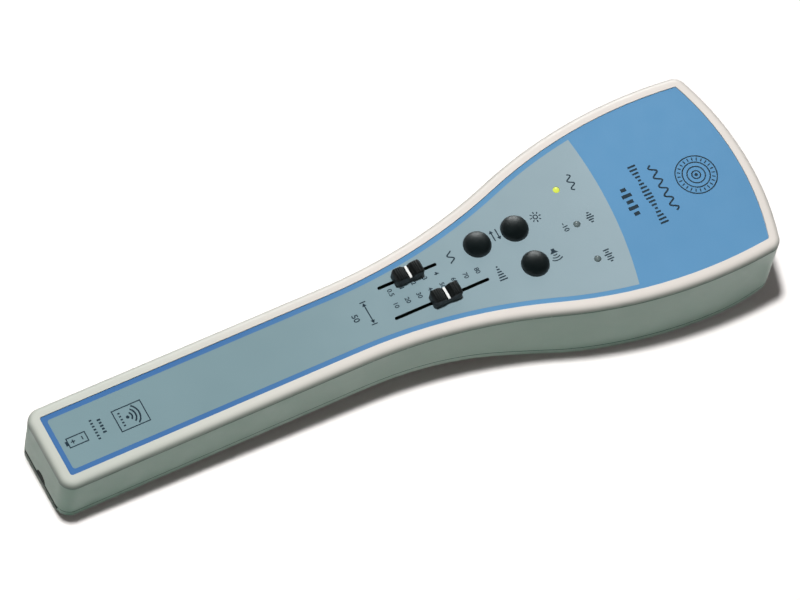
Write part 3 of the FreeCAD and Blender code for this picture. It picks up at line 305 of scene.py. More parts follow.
ferrite = Finish("magnet_ferrite", tone(52, 52, 54), 0.62).soften(0.2).mottle(tone(66, 65, 66), 3.0)
ferrite.gloss(0.52, 0.74, 1.5).grain(0.3, 0.02)
cone = Finish("cone_paper", tone(44, 43, 42), 0.8, Sheen_Weight=0.2).mottle(tone(58, 56, 54), 1.2)
cone.gloss(0.72, 0.9, 1.0).grain(0.25, 0.03, (1.0, 1.0, 0.3), 4.0)
epoxy = Finish("chip_epoxy", tone(30, 31, 32), 0.5).soften(0.1).mottle(tone(38, 39, 40), 1.5)
epoxy.gloss(0.42, 0.6, 0.8).grain(0.12, 0.004)
foam = Finish("seal_foam", tone(20, 22, 22), 0.95).mottle(tone(30, 32, 31), 0.6)
foam.gloss(0.88, 1.0, 0.8).grain(0.35, 0.08, detail=4.0)
socket = Finish("socket_plastic", tone(232, 228, 214), 0.42).soften(0.1).mottle(tone(224, 219, 203), 2.0)
socket.gloss(0.36, 0.5, 1.5).grain(0.25, 0.005)
ceramic = Finish("part_ceramic", tone(108, 84, 58), 0.5).mottle(tone(124, 98, 70), 0.8)
ceramic.gloss(0.42, 0.6, 0.6).grain(0.15, 0.006)
wrap = Finish("cell_wrap", tone(44, 62, 74), 0.3, Coat_Weight=0.4, Coat_Roughness=0.12)
wrap.mottle(tone(36, 52, 64), 6.0, stretch=(0.2, 1.0, 1.0)).gloss(0.24, 0.36, 3.0)
wrap.grain(0.6, 0.004, (0.1, 1.0, 1.0))
laminate()
metal("fader_steel", tone(58, 60, 60), tone(46, 48, 48), 0.45, (1.0, 8.0, 8.0))
metal("contact_nickel", tone(206, 202, 192), tone(186, 181, 170), 0.3, (6.0, 1.0, 1.0))
metal("screw_steel", tone(190, 192, 192), tone(168, 170, 170), 0.3)
metal("basket_steel", tone(150, 152, 152), tone(132, 134, 134), 0.38)
metal("capacitor_can", tone(178, 180, 184), tone(160, 162, 168), 0.28, (1.0, 1.0, 6.0))
metal("cell_tip", tone(212, 210, 204), tone(190, 188, 180), 0.24)
clear("lamp_green", tone(216, 228, 120), 0.55, 0.12)
clear("lamp_clear", tone(112, 128, 130), 0.3, 0.3)
clear("lens_clear", tone(226, 234, 236), 0.85, 0.16)
glowing("die_glow", tone(220, 226, 120), tone(240, 246, 120), 4.0)
glowing("lamp_lit", tone(150, 160, 70), tone(226, 240, 84), 0.62)
shade("seam_shade", tone(92, 96, 90), tone(80, 86, 80), 0.8)
# Painted shade: a dull line round the wall under the rim's rounding.
shade("under_rim_painted_shade", tone(150, 152, 145), tone(140, 143, 136), 0.7)
ink("dark_ink", tone(22, 42, 54), tone(30, 50, 62))
ink("white_ink", tone(238, 240, 238), tone(226, 229, 228))
ink("band_ink", tone(196, 200, 198), tone(184, 189, 188))

for finish in FINISHES.values():
    finish.done()
for node in frame["nodes"].values():
    for place in node.material_slots:
        place.material = FINISHES[place.material.name.split(".")[0]].material


# ---- mesh code ----


def added(name, data):
    """A new object in the scene."""
    item = bpy.data.objects.new(name, data)
    bpy.context.scene.collection.objects.link(item)
    return item


def piece(name, mesh, finishes, body="housing", place=PANEL, replaced=(), sharp=35.0):
    """Puts a mesh drawn in millimetres in its place and hands it to a body of the frame."""
    mesh.transform(place)
    mesh.name = name
    for finish in finishes:
        mesh.materials.append(FINISHES[finish].material)
    for face in mesh.polygons:
        face.use_smooth = True
    mesh.set_sharp_from_angle(angle=radians(sharp))
    item = added(name, mesh)
    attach(item, body)
    if replaced:
        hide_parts(*replaced)
    return item


def on_panel(x, y, height=0.0):
    """The place of a piece that is drawn about its own origin and sits at a spot of the panel."""
    return PANEL @ Matrix.Translation((x, y, height))


def to_mesh(bm, outwards=True):
    """The mesh that bm holds, with its faces turned outwards if it is a closed solid."""
    if outwards:
        bmesh.ops.recalc_face_normals(bm, faces=bm.faces[:])
    mesh = bpy.data.meshes.new("drawn")
    bm.to_mesh(mesh)
    bm.free()
    return mesh


def joined(meshes):
    bm = bmesh.new()
    for mesh in meshes:
        bm.from_mesh(mesh)
        bpy.data.meshes.remove(mesh)
    return to_mesh(bm, outwards=False)


def star(bm, radii, height):
    """A closed ring about Z with a corner at each of the radii."""
    turn = 2.0 * pi / len(radii)
    points = [(r * cos(turn * n), r * sin(turn * n), height) for n, r in enumerate(radii)]
    return [bm.verts.new(point) for point in points]


def ring(bm, radius, height, steps):
    """A round ring about Z, or a single point where the radius is 0."""
    return star(bm, [radius] * (steps if radius > 1e-6 else 1), height)


def bridge(bm, low, high, index=0):
    """Faces between two closed rings; either may be a single point."""
    count = max(len(low), len(high))
    for n in range(count):
        m = (n + 1) % count
        corners = (low[n % len(low)], low[m % len(low)], high[m % len(high)], high[n % len(high)])
        bm.faces.new(list(dict.fromkeys(corners))).material_index = index


def lathe(bm, profile, steps, index=0):
    """Turns (radius, height) points about Z. A third value is the finish of the band that ends there."""
    rings = [(ring(bm, point[0], point[1], steps), (*point, index)[2]) for point in profile]
    for (low, _), (high, band) in zip(rings, rings[1:]):
        bridge(bm, low, high, band)


def eased(profile, radius, steps):
    """Rounds every inner corner of a profile for lathe."""
    points = [profile[0]]
    for before, corner, after in zip(profile, profile[1:], profile[2:]):
        a, b, c = (Vector(point[:2]) for point in (before, corner, after))
        reach = min(radius, (a - b).length * 0.45, (c - b).length * 0.45)
        start = b + (a - b).normalized() * reach
        end = b + (c - b).normalized() * reach
        for n in range(steps + 1):
            t = n / steps
            spot = start * (1 - t) ** 2 + b * 2 * t * (1 - t) + end * t * t
            points.append((*spot, *(corner if t < 0.5 else after)[2:]))
    return points + [profile[-1]]


def quarter(steps):
    """Angles from 0 to a right angle."""
    return [pi / 2.0 * n / steps for n in range(steps + 1)]


def box(bm, low, high, round_off=0.0, index=0):
    """A box with rounded edges between two opposite corners."""
    low, high = (Vector(corner) for corner in zip(*map(sorted, zip(low, high))))
    place = Matrix.LocRotScale((low + high) / 2.0, None, high - low)
    made = bmesh.ops.create_cube(bm, size=1.0, matrix=place)["verts"]
    for face in {face for vert in made for face in vert.link_faces}:
        face.material_index = index
    if round_off:
        edges = {edge for vert in made for edge in vert.link_edges}
        bmesh.ops.bevel(bm, geom=list(edges), offset=round_off, segments=3, affect="EDGES", material=-1)


def moved(bm, start, matrix):
    """Moves what was added to bm after its first start vertices."""
    bm.verts.ensure_lookup_table()
    for vert in bm.verts[start:]:
        vert.co = matrix @ vert.co


# ---- outlines ----


def arc(middle, radius, start, end, steps):
    """Points from one angle to another, in radians, without the last."""
    turns = [start + (end - start) * n / steps for n in range(steps)]
    return [(middle[0] + radius * cos(t), middle[1] + radius * sin(t)) for t in turns]


def circle(x, y, radius, steps=40, start=0.0, end=360.0):
    """A whole circle, or an arc with both of its ends, by angles in degrees."""
    count = steps + (end - start != 360.0)
    turns = [radians(start + (end - start) * n / steps) for n in range(count)]
    return [(x + radius * cos(turn), y + radius * sin(turn)) for turn in turns]


NECK_SINE = sqrt(1.0 - (1.0 - (HEAD_HALF - HANDLE_HALF) / (NECK_RADIUS + HEAD_RADIUS)) ** 2)


def half_width(x, offset):
    """Half the width of the panel's pocket at x, made wider by offset."""
    neck_start = HEAD_X - (NECK_RADIUS + HEAD_RADIUS) * NECK_SINE
    meet = neck_start + (NECK_RADIUS - offset) * NECK_SINE
    if x < neck_start:
        return HANDLE_HALF + offset
    if x < meet:
        return HANDLE_HALF + NECK_RADIUS - sqrt((NECK_RADIUS - offset) ** 2 - (x - neck_start) ** 2)
    return HEAD_HALF - HEAD_RADIUS + sqrt((HEAD_RADIUS + offset) ** 2 - (x - HEAD_X) ** 2)


def zone_outline():
    """The grey zone's outline: the pocket's, further in, up to an arc that crosses the middle at apex.

    The arc leans: its far end reaches further towards the head than its near end.
    """
    start, apex, radius, lean = ZONE_INSET, 266.2, 195.0, radians(4.9)
    corner, steps = 1.2, 90
    middle = (apex - radius * cos(lean), radius * sin(lean))
    sides = []
    turns = []
    for side in SIDES:
        end = middle[0]
        while hypot(end - middle[0], side * half_width(end, -ZONE_INSET) - middle[1]) < radius:
            end += 0.05
        rounded = circle(start + corner, half_width(start, -ZONE_INSET) - corner, corner, 6, 180.0, 90.0)
        xs = [start + corner + (end - start - corner) * n / steps for n in range(steps + 1)]
        edge = rounded[:-1] + [(x, half_width(x, -ZONE_INSET)) for x in xs]
        sides.append([(x, side * y) for x, y in edge])
        turns.append(atan2(side * half_width(end, -ZONE_INSET) - middle[1], end - middle[0]))
    return sides[0] + arc(middle, radius, turns[0], turns[1], 40)[1:] + sides[1][::-1]


def head_corner():
    """The centre of a rounded head corner, as far inside the head's arc as inside the end's arc."""
    low = HEAD_RADIUS - HEAD_HALF
    apart = hypot(HEAD_X - END_MIDDLE, low)
    to_end = ((HEAD_X - END_MIDDLE) / apart, low / apart)
    head_reach = HEAD_RADIUS - POCKET_CORNER
    end_reach = END_RADIUS - POCKET_CORNER
    along = (head_reach ** 2 - end_reach ** 2 + apart ** 2) / (2.0 * apart)
    aside = sqrt(head_reach ** 2 - along ** 2)
    return HEAD_X - along * to_end[0] + aside * to_end[1], along * to_end[1] + aside * to_end[0] - low


def club(offset):
    """The whole outline, wider than the pocket by offset, from the handle's end round to it again."""
    steps = 400
    x, y = head_corner()
    corner = POCKET_CORNER + offset
    to_head = atan2(y + HEAD_RADIUS - HEAD_HALF, x - HEAD_X)
    to_end = atan2(y, x - END_MIDDLE)
    run = x + corner * cos(to_head) - POCKET_CORNER
    along = [POCKET_CORNER + run * n / steps for n in range(steps)]
    upper = arc((POCKET_CORNER, HANDLE_HALF - POCKET_CORNER), corner, pi, pi / 2.0, 24)
    upper += [(at_x, half_width(at_x, offset)) for at_x in along]
    upper += arc((x, y), corner, to_head, to_end, 24)
    upper += arc((END_MIDDLE, 0.0), END_RADIUS + offset, to_end, 0.0, 40)
    return upper + [(POCKET_END + offset, 0.0)] + [(x, -y) for x, y in reversed(upper)]


def slot_outline(y, length, ends, sides):
    """A fader's slot, longer by ends at each end and wider by sides on each side."""
    half = SLOT_WIDTH / 2.0 + sides
    head = circle(SLOT_START + length + ends - half, y, half, 12, -90.0, 90.0)
    return head + circle(SLOT_START - ends + half, y, half, 12, 90.0, 270.0)


def openings(gap):
    """Outlines of the slots, key holes and lamp holes of the overlay, each wider by gap."""
    loops = [slot_outline(y, length, gap, gap) for _, y, length in FADERS.values()]
    loops += [circle(x, y, KEY_HOLE + gap) for x, y in KEYS.values()]
    return loops + [circle(LAMP_X, y, LAMP_HOLE + gap, 24) for y in LAMPS.values()]


def stroke(points, width):
    """The outline of an open line of the given width."""
    left = []
    right = []
    for before, (x, y), after in zip(points[:1] + points, points, points[1:] + points[-1:]):
        along = (Vector(after) - Vector(before)).normalized()
        side = Vector((-along.y, along.x)) * width / 2.0
        left.append((x + side.x, y + side.y))
        right.append((x - side.x, y - side.y))
    return left + right[::-1]


def at(x, y, points):
    """Points drawn with the head up, moved to (x, y)."""
    return [(x + v, y - u) for u, v in points]


# ---- print ----


def from_curve(curve, level, matrix=Matrix()):
    item = added("print", curve)
    bpy.context.view_layer.update()
    mesh = bpy.data.meshes.new_from_object(item.evaluated_get(bpy.context.evaluated_depsgraph_get()))
    bpy.data.objects.remove(item)
    mesh.transform(Matrix.Translation((0.0, 0.0, level)) @ matrix)
    return mesh


def filled(loops, level, thickness=INK_THICKNESS):
    """A thin flat mesh about a level, inside the first loop and outside the others."""
    curve = bpy.data.curves.new("print", "CURVE")
    curve.dimensions = "2D"
    curve.fill_mode = "BOTH"
    curve.extrude = thickness / 2.0
    for loop in loops:
        spline = curve.splines.new("POLY")
        spline.points.add(len(loop) - 1)
        for point, (x, y) in zip(spline.points, loop):
            point.co = (x, y, 0.0, 1.0)
        spline.use_cyclic_u = True
    return from_curve(curve, level)


def drawn(*loops):
    return filled(loops, INK_LEVEL)


def line(points, width=FINE_LINE):
    return drawn(stroke(points, width))


def hoop(x, y, radius, width, steps):
    """A closed ring of the given width."""
    half = width / 2.0
    return drawn(circle(x, y, radius + half, steps), circle(x, y, radius - half, steps))


def frame_of(low, high):
    """A rectangle's outline between two corners, drawn inwards."""
    loops = []
    for inset in (0.0, FINE_LINE):
        left, near, right, far = low[0] + inset, low[1] + inset, high[0] - inset, high[1] - inset
        loops.append([(left, near), (right, near), (right, far), (left, far)])
    return drawn(*loops)


def bars(x, y, heights, pitch, width):
    """Upright bars side by side, read with the head up and centred on (x, y)."""
    left = y + pitch * (len(heights) - 1) / 2.0
    return [line(at(x, left - pitch * n, [(0.0, -h), (0.0, h)]), width) for n, h in enumerate(heights)]


def wave(x, y, reach, height, cycles, width):
    turns = [n / 40.0 for n in range(-40, 41)]
    return line(at(x, y, [(reach * t, height * sin(pi * cycles * t)) for t in turns]), width)


def number(text, x, y, size):
    """A number that reads with the head up, centred on (x, y)."""
    curve = bpy.data.curves.new("number", "FONT")
    curve.body = text
    curve.size = size
    curve.align_x = curve.align_y = "CENTER"
    curve.extrude = INK_THICKNESS / 2.0
    curve.offset = 0.02 * size
    curve.resolution_u = 4
    turn = Matrix.Translation((x, y, 0.0)) @ Matrix.Rotation(radians(-90.0), 4, "Z")
    return from_curve(curve, INK_LEVEL, turn)


def printed(name, marks):
    piece(name, joined(marks), ["dark_ink"])


def print_scale_numbers():
    marks = [number(text, 160.9 + 5.5 * n, 4.6, 3.0) for n, text in enumerate(("0.5", "1", "2", "3", "4"))]
    marks += [number(str(10 + 10 * n), 160.3 + 5.6 * n, -1.6, 2.9) for n in range(8)]
    printed("scale_numbers", marks)


def print_lamp_symbols():
    """A wave, a swelling tone and a warble beside the lamps."""
    marks = [wave(256.7, 19.0, 3.9, 1.25, 2.0, 0.62)]
    marks += bars(256.0, 0.6, (0.6, 1.2, 1.8, 1.2, 0.6), 1.15, 0.62)
    marks += bars(254.4, -19.0, (1.4, 0.8, 1.8, 1.1, 1.6, 0.6), 1.12, 0.6)
    marks.append(number("-10", 243.9, 0.8, 3.3))
    printed("signal_symbols", marks)


def print_key_symbols():
    """A sun for light, two opposed arrows for select and a loudspeaker for the stimulus."""
    sun = (234.6, 10.6)
    marks = [hoop(*sun, 0.95, FINE_LINE, 24)]
    for n in range(8):
        turn = radians(45.0 * n)
        marks.append(line(at(*sun, [(r * cos(turn), r * sin(turn)) for r in (1.6, 2.6)])))
    for x, side in ((215.9, 1.0), (213.5, -1.0)):
        marks.append(line(at(x, 10.2, [(-2.6 * side, 0.0), (1.5 * side, 0.0)]), 0.55))
        marks.append(drawn(at(x, 10.2, [(1.3 * side, -1.0), (1.3 * side, 1.0), (2.8 * side, 0.0)])))
    speaker_spot = (233.6, -8.9)
    horn = [(-2.9, -0.8), (-1.9, -0.8), (-0.7, -1.9), (-0.7, 1.9), (-1.9, 0.8), (-2.9, 0.8)]
    marks.append(drawn(at(*speaker_spot, horn)))
    for radius in (1.6, 2.9, 4.2):
        marks.append(line(at(*speaker_spot, circle(-1.3, 0.0, radius, 14, -36.0, 36.0))))
    printed("key_symbols", marks)


def print_scale_symbols():
    marks = bars(207.9, -6.9, (0.4, 0.7, 1.0, 1.3, 1.6, 1.9), 1.3, 0.62)
    printed("scale_symbols", [wave(192.3, 8.8, 2.9, 1.2, 1.5, 0.6)] + marks)


def print_handle_symbols():
    """The distance arrow by the faders, the framed dial and the cell at the handle's end."""
    distance = (147.9, 0.0)
    marks = [line(at(*distance, [(-4.4, 0.0), (4.4, 0.0)]))]
    for side in SIDES:
        marks.append(drawn(at(*distance, [(5.2 * side, 0.0), (3.6 * side, 1.0), (3.6 * side, -1.0)])))
        marks.append(line(at(*distance, [(5.6 * side, -1.4), (5.6 * side, 1.4)])))
    marks.append(number("50", 141.6, 0.0, 3.8))
    printed("distance_symbol", marks)
    dial = (33.6, -0.4)
    marks = [frame_of((28.2, -5.8), (41.9, 4.9))]
    for radius in (2.0, 3.7, 5.4):
        marks.append(line(at(*dial, circle(0.0, 0.0, radius, 24, 38.0, 142.0)), 0.75))
    marks.append(drawn(circle(*dial, 0.75, 20)))
    marks += bars(30.8, -0.4, (0.5,) * 5, 1.5, 0.7)
    printed("framed_symbol", marks)
    marks = [frame_of((5.4, -3.3), (14.4, 1.6)), drawn([(4.5, -1.9), (5.4, -1.9), (5.4, 0.2), (4.5, 0.2)])]
    for ends in ([(6.9, -0.85), (8.9, -0.85)], [(7.9, -1.85), (7.9, 0.15)], [(12.2, -1.7), (12.2, 0.0)]):
        marks.append(line(ends))
    marks += bars(18.6, 0.2, (0.6,) * 7, 1.5, 0.75)
    marks += bars(22.0, 0.6, (0.8, 0.6, 0.8, 0.6, 0.8), 1.5, 0.85)
    printed("cell_symbol", marks)


def print_head_motif():
    """Sound rings with ticks round them, and level bars beside them."""
    middle = (308.0, -0.6)
    marks = [hoop(*middle, radius, 0.55, 64) for radius in (1.9, 4.0, 6.1, 9.2)]
    for n in range(24):
        turn = 2.0 * pi * n / 24.0
        marks.append(line(at(*middle, [(r * cos(turn), r * sin(turn)) for r in (6.9, 8.4)])))
    marks.append(drawn(circle(*middle, 0.8, 24)))
    printed("sound_rings", marks)
    marks = [wave(291.9, -0.2, 12.0, 1.5, 5.0, 0.8)]
    marks += bars(284.2, -0.2, [0.7 + 1.2 * abs(cos(pi * n / 8.0)) for n in range(17)], 1.85, 0.9)
    marks += bars(275.4, -0.2, (1.3, 2.3, 1.6, 2.3, 1.3), 3.1, 1.7)
    printed("level_bars", marks)


# ---- keys, faders and lamps on the panel ----


def key(name, x, y):
    """A domed rubber key with two stop ears and a well for its plunger, and a ring round its hole."""
    foot = -4.0
    well = (1.9, -1.6)
    dome = [((KEY_RADIUS - 0.05) * sin(turn), 0.2 + 3.2 * cos(turn)) for turn in quarter(16)]
    skirt = eased([(well[0], foot), (KEY_RADIUS, foot), (KEY_RADIUS, -0.4), dome[-1]], 0.2, 3)
    bm = bmesh.new()
    lathe(bm, [(0.0, well[1]), well] + skirt[:-1] + dome[::-1], 64)
    for side in SIDES:
        box(bm, (5.4 * side, -1.8, foot), (7.2 * side, 1.8, foot + 1.0), 0.2)
    piece(f"{name}_key_dome", to_mesh(bm), ["key_rubber"], f"{name}_button", on_panel(x, y),
          replaced=(f"{name}_key",), sharp=50.0)
    collar = filled([circle(x, y, KEY_HOLE + 0.14, 64), circle(x, y, KEY_RADIUS + 0.1, 64)], -0.61, 0.36)
    piece(f"{name}_key_collar", collar, ["zone_ink"])


# A fader cap: a valley with the white index line across it, between two ribbed lobes.
CAP_HALF_LENGTH = 6.75
CAP_HALF_WIDTH = 3.3
CAP_FOOT = 0.4
CAP_VALLEY = 4.1
CAP_CREST = 5.6
CAP_END_FALL = 1.4
VALLEY_HALF = 0.9
INDEX_HALF = 0.55
RIB_DEPTH = 0.17
RIB_PITCH = 0.85


def cap_height(x):
    """Height of the fader cap's top at x from its middle."""
    x = abs(x)
    lobe_end = CAP_HALF_LENGTH - CAP_END_FALL
    if x < VALLEY_HALF:
        return CAP_VALLEY
    if x > lobe_end:
        return CAP_CREST - 1.3 * ((x - lobe_end) / CAP_END_FALL) ** 2
    rise = (CAP_CREST - CAP_VALLEY) * sin(min(1.0, (x - VALLEY_HALF) / 2.4) * pi / 2.0)
    rib = RIB_DEPTH * abs(sin(pi * (x - 1.4) / RIB_PITCH)) if 1.4 < x < 4.8 else 0.0
    return min(CAP_VALLEY + rise - RIB_DEPTH + rib, CAP_CREST)


def cap_section(x):
    """Half of the cap's cross-section at x, from the foot's middle round to the top's middle."""
    rounded = 1.15
    waist = CAP_HALF_WIDTH - 0.2 * exp(-((x / 1.4) ** 2))
    half = waist - 0.8 * max(0.0, (abs(x) - CAP_HALF_LENGTH + rounded) / rounded) ** 2
    top = cap_height(x)
    edge = min(0.6, (top - CAP_FOOT) * 0.25)
    points = [(0.0, CAP_FOOT), (half - 0.25, CAP_FOOT), (half, CAP_FOOT + 0.25)]
    for turn in quarter(4):
        points.append((half - 0.08 - edge + edge * cos(turn), top - edge + edge * sin(turn)))
    return points + [(0.0, top)]


def fader_cap(name, x, y):
    """A fader's finger cap, lofted from its cross-sections."""
    bm = bmesh.new()
    ends = {side * edge for side in SIDES for edge in (INDEX_HALF, VALLEY_HALF, CAP_HALF_LENGTH)}
    stations = sorted(ends | {round(side * n * 0.1367, 4) for n in range(50) for side in SIDES})
    rings = []
    for station in stations:
        half = cap_section(station)
        around = half + [(-u, v) for u, v in half[-2:0:-1]]
        rings.append([bm.verts.new((station, u, v)) for u, v in around])
    count = len(rings[0])
    for (low, high), first, last in zip(zip(rings, rings[1:]), stations, stations[1:]):
        white = first >= -INDEX_HALF and last <= INDEX_HALF
        for n in range(count):
            m = (n + 1) % count
            face = bm.faces.new((low[n], low[m], high[m], high[n]))
            face.material_index = 1 if white and min(low[n].co.z, low[m].co.z) > 3.0 else 0
    bm.faces.new(rings[0])
    bm.faces.new(rings[-1][::-1])
    piece(f"{name}_fader_cap", to_mesh(bm), ["cap_plastic", "white_ink"], f"{name}_slider", on_panel(x, y),
          replaced=(f"{name}_cap",), sharp=40.0)


def slot_liner(name, y, length):
    """A black sleeve that lines a fader's slot, with a lip in the overlay's opening."""
    inner = slot_outline(y, length, -0.04, -0.08)
    lip = filled([slot_outline(y, length, 0.14, 0.14), inner], -0.62, 0.34)
    sleeve = filled([slot_outline(y, length, -0.01, -0.01), inner], -2.6, 3.6)
    piece(f"{name}_slot_liner", joined([lip, sleeve]), ["switch_plastic"])


def lamp(name, resin, core):
    """A round lamp: clear body with a dome, the cup inside, two legs and a thin collar in the overlay."""
    place = on_panel(LAMP_X, LAMPS[name])
    base = -5.1
    bm = bmesh.new()
    dome = [(LAMP_RADIUS * sin(turn), -0.8 + 1.1 * cos(turn)) for turn in quarter(8)]
    body = [(0.0, base), (LAMP_RADIUS, base), (LAMP_RADIUS, base + 0.5)]
    lathe(bm, eased(body, 0.15, 2) + dome[::-1], 40)
    cup = ((0.0, -4.2), (0.5, -4.2), (0.55, -2.2), (0.95, -1.5), (0.55, -1.9), (0.0, -1.9))
    lathe(bm, cup, 24, index=1)
    for side in SIDES:
        middle = 0.95 * side
        box(bm, (middle - 0.3, -0.3, -13.0), (middle + 0.3, 0.3, base), 0.05, 2)
    finishes = [resin, core, "contact_nickel"]
    piece(f"{name}_lamp_lens", to_mesh(bm), finishes, place=place, replaced=(f"{name}_lamp",))
    bm = bmesh.new()
    lathe(bm, ((1.53, -0.79), (1.73, -0.79), (1.73, -0.5), (1.63, -0.44), (1.53, -0.5), (1.53, -0.79)), 40)
    piece(f"{name}_lamp_collar", to_mesh(bm), ["basket_steel"], place=place)


# ---- housing trim, screws and cells ----


def ground(x):
    """Height of the table top under x: it touches the bevel at the handle's end and the flat belly."""
    run = x + RIM_WIDTH - BOTTOM_BEVEL
    return -(HANDLE_DEPTH * cos(TILT) + run * sin(TILT)) / cos(TILT)


# The throat's arc passes into the belly's half-way between their centres: their radii are the same.
BELLY_MIDDLE_X = BELLY_START + BELLY_RADIUS * sin(TILT)
BELLY_MIDDLE_Z = ground(BELLY_START) + BELLY_RADIUS * cos(TILT)
THROAT_MIDDLE_Z = -HANDLE_DEPTH - THROAT_RADIUS
THROAT_RUN = sqrt((THROAT_RADIUS + BELLY_RADIUS) ** 2 - (BELLY_MIDDLE_Z - THROAT_MIDDLE_Z) ** 2)
THROAT_START = BELLY_MIDDLE_X - THROAT_RUN
THROAT_END = BELLY_MIDDLE_X - THROAT_RUN / 2.0

# How far the wall lines stand out, and the half width that they never pass.
WALL_PROUD = 0.03
WIDEST = HEAD_HALF + RIM_WIDTH - 0.0005


def underside(x):
    """Height of the device's underside at x."""
    if x < THROAT_START:
        return -HANDLE_DEPTH
    if x < THROAT_END:
        return THROAT_MIDDLE_Z + sqrt(THROAT_RADIUS ** 2 - (x - THROAT_START) ** 2)
    if x < BELLY_START:
        return BELLY_MIDDLE_Z - sqrt(BELLY_RADIUS ** 2 - (x - BELLY_MIDDLE_X) ** 2)
    if x < BELLY_END:
        return ground(x)
    run = x - BELLY_END - NOSE_RADIUS * sin(TILT)
    return ground(BELLY_END) + NOSE_RADIUS * cos(TILT) - sqrt(NOSE_RADIUS ** 2 - run ** 2)


def wall_line(name, finish, height, half):
    """A fine line that runs round the side wall at height(x), half of its width above and half below."""
    bm = bmesh.new()
    pairs = []
    for x, y in club(RIM_WIDTH + WALL_PROUD):
        side = max(-WIDEST, min(WIDEST, y))
        pairs.append([bm.verts.new((x, side, height(x) + reach)) for reach in (-half, half)])
    for first, second in zip(pairs, pairs[1:]):
        bm.faces.new((first[0], second[0], second[1], first[1]))
    piece(name, to_mesh(bm, outwards=False), [finish])


def mouth_seal():
    """A strip of black foam behind the door's mouth and its thumb notch."""
    half, low, high = 14.7, -27.15, -25.05
    notch = circle(0.0, high, 3.7, 20, 0.0, 180.0)
    profile = [(-half, low), (half, low), (half, high)] + notch + [(-half, high)]
    bm = bmesh.new()
    front, back = ([bm.verts.new((x, y, z)) for y, z in profile] for x in (-4.92, -1.05))
    bridge(bm, front, back)
    bm.faces.new(front)
    bm.faces.new(back[::-1])
    piece("mouth_seal", to_mesh(bm), ["seal_foam"])


SCREW_STEPS = 48
THREAD_PITCH = 1.25


def cross_radii(reach, half):
    """Radii of a plus sign whose arms reach out and are two halves wide."""
    radii = []
    for n in range(SCREW_STEPS):
        turn = 2.0 * pi * n / SCREW_STEPS
        along = max(abs(cos(turn)), 1e-6)
        across = max(abs(sin(turn)), 1e-6)
        radii.append(max(min(reach / along, half / across), min(reach / across, half / along)))
    return radii


def thread_radius(height, share):
    """The thread's radius at a height above the head and a share of the turn; the tip tapers."""
    phase = (height / THREAD_PITCH - share) % 1.0
    crest = max(0.0, 1.0 - abs(phase - 0.5) * 3.4)
    return (1.22 + 0.27 * crest) * min(1.0, 1.0 - 0.35 * (height - 10.0))


def screw(bm, x, y):
    """A pan-head screw, head down, with a cross recess and a rolled thread."""
    start = len(bm.verts)
    head = [(2.55, -2.0), (2.8, -1.7), (2.8, -0.25), (2.65, 0.0), (1.32, 0.0), (1.32, 1.0)]
    rings = [ring(bm, radius, height, SCREW_STEPS) for radius, height in head]
    cross = star(bm, cross_radii(1.7, 0.42), -2.0)
    recess = star(bm, cross_radii(1.0, 0.3), -1.0)
    bridge(bm, rings[0], cross)
    bridge(bm, cross, recess)
    bm.faces.new(recess)
    for layer in range(1, 50):
        height = 1.0 + 0.2 * layer
        rings.append(star(bm, [thread_radius(height, n / SCREW_STEPS) for n in range(SCREW_STEPS)], height))
    rings.append(ring(bm, 0.0, 11.3, 1))
    for low, high in zip(rings, rings[1:]):
        bridge(bm, low, high)
    moved(bm, start, Matrix.Translation((x, y, -25.0)))


def housing_screws():
    bm = bmesh.new()
    for x, y in ((74.0, 12.2), (316.0, 28.0)):
        for side in SIDES:
            screw(bm, x, y * side)
    piece("cross_head_screws", to_mesh(bm), ["screw_steel"], replaced=("housing_screws",), sharp=50.0)


def cell(name, x, y, side):
    """An AA cell along X: wrapped can with a pale band, crimped rims, flat minus end and plus nub."""
    profile = [
        (0.0, 0.25), (4.6, 0.25), (5.2, 0.02), (6.2, 0.02), (6.7, 0.35, 1), (7.2, 0.5, 1), (7.25, 0.9, 1),
        (7.25, 36.0, 1), (7.25, 40.5, 2), (7.25, 48.3, 1), (7.1, 48.9, 1), (6.5, 49.1, 1), (6.3, 48.8),
        (5.6, 48.7), (5.2, 49.1), (2.9, 49.2), (2.75, 49.5), (2.72, 50.3), (2.5, 50.48), (0.0, 50.48),
    ]
    bm = bmesh.new()
    lathe(bm, profile, 64)
    place = on_panel(x, y, -19.85) @ Matrix.Rotation(radians(90.0 * side), 4, "Y")
    finishes = ["cell_tip", "cell_wrap", "band_ink"]
    item = piece(f"{name}_wrapped_cell", to_mesh(bm), finishes, place=place, replaced=(f"{name}_cell",))


# ---- loudspeaker and reward light, drawn in the row frame ----

SPEAKER_SPOT = Matrix.Translation((104.5, 0.0, 0.0))
REWARD_SPOT = Matrix.Translation((66.46, 0.0, 0.0))


def speaker_diaphragm():
    """The paper cone with its roll surround, its pleats and its dust cap."""
    roll_middle, roll_radius, cone_edge, cap_edge = 23.2, 2.0, 21.2, 9.0
    sheet = [(28.0, 2.42), (roll_middle + roll_radius, 2.42)]
    for turn in [pi * n / 12 for n in range(1, 12)]:
        sheet.append((roll_middle + roll_radius * cos(turn), 2.45 + 1.5 * sin(turn)))
    sheet.append((cone_edge, 2.5))
    for share in [n / 24 for n in range(1, 25)]:
        pleat = 0.06 * sin(share * pi * 12)
        sheet.append((cone_edge - (cone_edge - cap_edge) * share, 2.5 + 1.6 * share + pleat))
    for turn in quarter(12)[1:]:
        sheet.append((cap_edge * cos(turn), 4.1 - 1.3 * sin(turn)))
    bm = bmesh.new()
    lathe(bm, sheet, 96)
    lathe(bm, [(radius, height + 0.25) for radius, height in reversed(sheet)] + [sheet[0]], 96)
    moved(bm, 0, SPEAKER_SPOT)
    cad = ("speaker_cone",)
    piece("speaker_diaphragm", to_mesh(bm), ["cone_paper"], place=ROW, replaced=cad, sharp=60.0)


